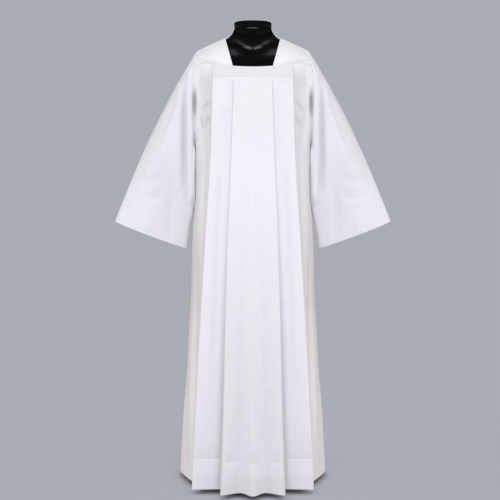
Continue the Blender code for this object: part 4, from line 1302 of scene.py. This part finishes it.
def gloss_finish(name, polish, colour, other, least, spread_out, stretch, metallic=0.0, specular=0.5):
    """A hard finish with smears: glossy plastic, or brushed metal where it is metallic."""
    n, shader, made = new_material(name)
    given = {"Place": n.place(), "Least": least, "Spread": spread_out, "Stretch": stretch}
    rubbed = n.add("ShaderNodeGroup", given, node_tree=polish)
    n.fill(shader, {
        "Base Color": n.mix(rubbed.outputs["Tone"], colour, other),
        "Roughness": rubbed.outputs["Roughness"],
        "Normal": n.bump(0.05, 0.0002, rubbed.outputs["Height"]),
        "Metallic": metallic,
        "Specular IOR Level": specular,
    })
    return made


# Studio

def area_light(name, place, size, power, stretch=1.0):
    """A soft light turned to the robe's middle, square or stretched sideways."""
    lamp = bpy.data.lights.new(name, "AREA")
    lamp.shape = "RECTANGLE"
    lamp.size = size * stretch
    lamp.size_y = size
    lamp.energy = power
    holder = put(name, lamp)
    holder.location = place
    gap = np.array((0.0, 0.0, LIT_Z)) - np.array(place)
    tilt = math.pi / 2 + math.atan2(gap[2], math.hypot(gap[0], gap[1]))
    holder.rotation_euler = (tilt, 0, math.atan2(gap[1], gap[0]) - math.pi / 2)
    return holder


def set_floor():
    """Plain pale floor with a faint mottle in its roughness."""
    corners = np.array(((-1, -1, 0), (1, -1, 0), (1, 1, 0), (-1, 1, 0))) * FLOOR_REACH
    ground = bpy.data.meshes.new("floor")
    ground.from_pydata(corners.tolist(), [], [(0, 1, 2, 3)])
    floor = put("floor", ground)
    n, shader, finish = new_material("pale floor")
    mottle = n.noise(n.place(), 30.0, 3.0)
    n.fill(shader, {
        "Base Color": (*FLOOR, 1),
        "Roughness": n.math("ADD", n.math("MULTIPLY", mottle, 0.1), 0.85),
        "Specular IOR Level": 0.0,
    })
    ground.materials.append(finish)
    return floor


def studio(form_pieces):
    """Camera, pale floor, soft lights and an even pale surround.

    The floor takes only the surround's light, so it stays even. The box above lights the form.
    """
    scene = bpy.context.scene
    camera = put("camera", bpy.data.cameras.new("camera"))
    camera.location = CAMERA_PLACE
    camera.rotation_euler = (math.radians(90 - CAMERA_PITCH), 0, 0)
    camera.data.lens = CAMERA_LENS
    camera.data.shift_x = CAMERA_SHIFT
    camera.data.clip_end = 100
    scene.camera = camera
    all_but_floor = bpy.data.collections.new("lit by the soft boxes")
    all_but_floor.objects.link(set_floor())
    all_but_floor.collection_objects[0].light_linking.link_state = "EXCLUDE"
    for name, place, size, power, glossy in SOFT_BOXES:
        box = area_light(name, place, size, power)
        box.visible_glossy = glossy
        box.light_linking.receiver_collection = all_but_floor
    form_only = bpy.data.collections.new("lit from above")
    for piece in form_pieces:
        form_only.objects.link(piece)
    area_light(*FORM_BOX).light_linking.receiver_collection = form_only
    world = bpy.data.worlds.new("surround")
    scene.world = world
    world.use_nodes = True
    n = Nodes(world.node_tree)
    seen = n.add("ShaderNodeLightPath").outputs
    tone = n.mix(seen["Is Camera Ray"], SURROUND, HORIZON)
    tone = n.mix(seen["Is Glossy Ray"], tone, GLOSS_SURROUND)
    n.fill(world.node_tree.nodes["Background"], {0: tone, 1: SURROUND_STRENGTH})
    scene.view_settings.view_transform = "Standard"


def main():
    """Load the frame, dress it, light it."""
    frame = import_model()
    weave = weave_group()
    polish = polish_group()
    cottons = [cloth_finish(name, weave, *look) for name, look in COTTONS.items()]
    thread = thread_finish()
    # The sleeves' and side panels' cottons are tinted copies of the white cotton, as painted shade
    white, arm, plain = ((cotton, thread) for cotton in cottons)
    black, metal = (gloss_finish(name, polish, *look) for name, look in GLOSSES.items())
    yoke("front", -1, NECKLINE_Z, NECKLINE_SAG, white)
    yoke("back", 1, BACK_NECKLINE_Z, 0, white)
    pleated_panel("front", -1, white)
    pleated_panel("back", 1, white)
    for side, word in ((1, "left"), (-1, "right")):
        saddle(side, word, white)
        side_panel(side, word, "front", -1, plain)
        side_panel(side, word, "back", 1, plain)
        sleeve(side, word, arm)
    form_pieces = (form(black), neck_cap(black))
    for node in ("stand_collar", "stand_pole", "stand_socket", "stand_base"):
        solid = frame["nodes"][node]
        solid.data.materials.clear()
        solid.data.materials.append(metal)
    studio(form_pieces)


main()
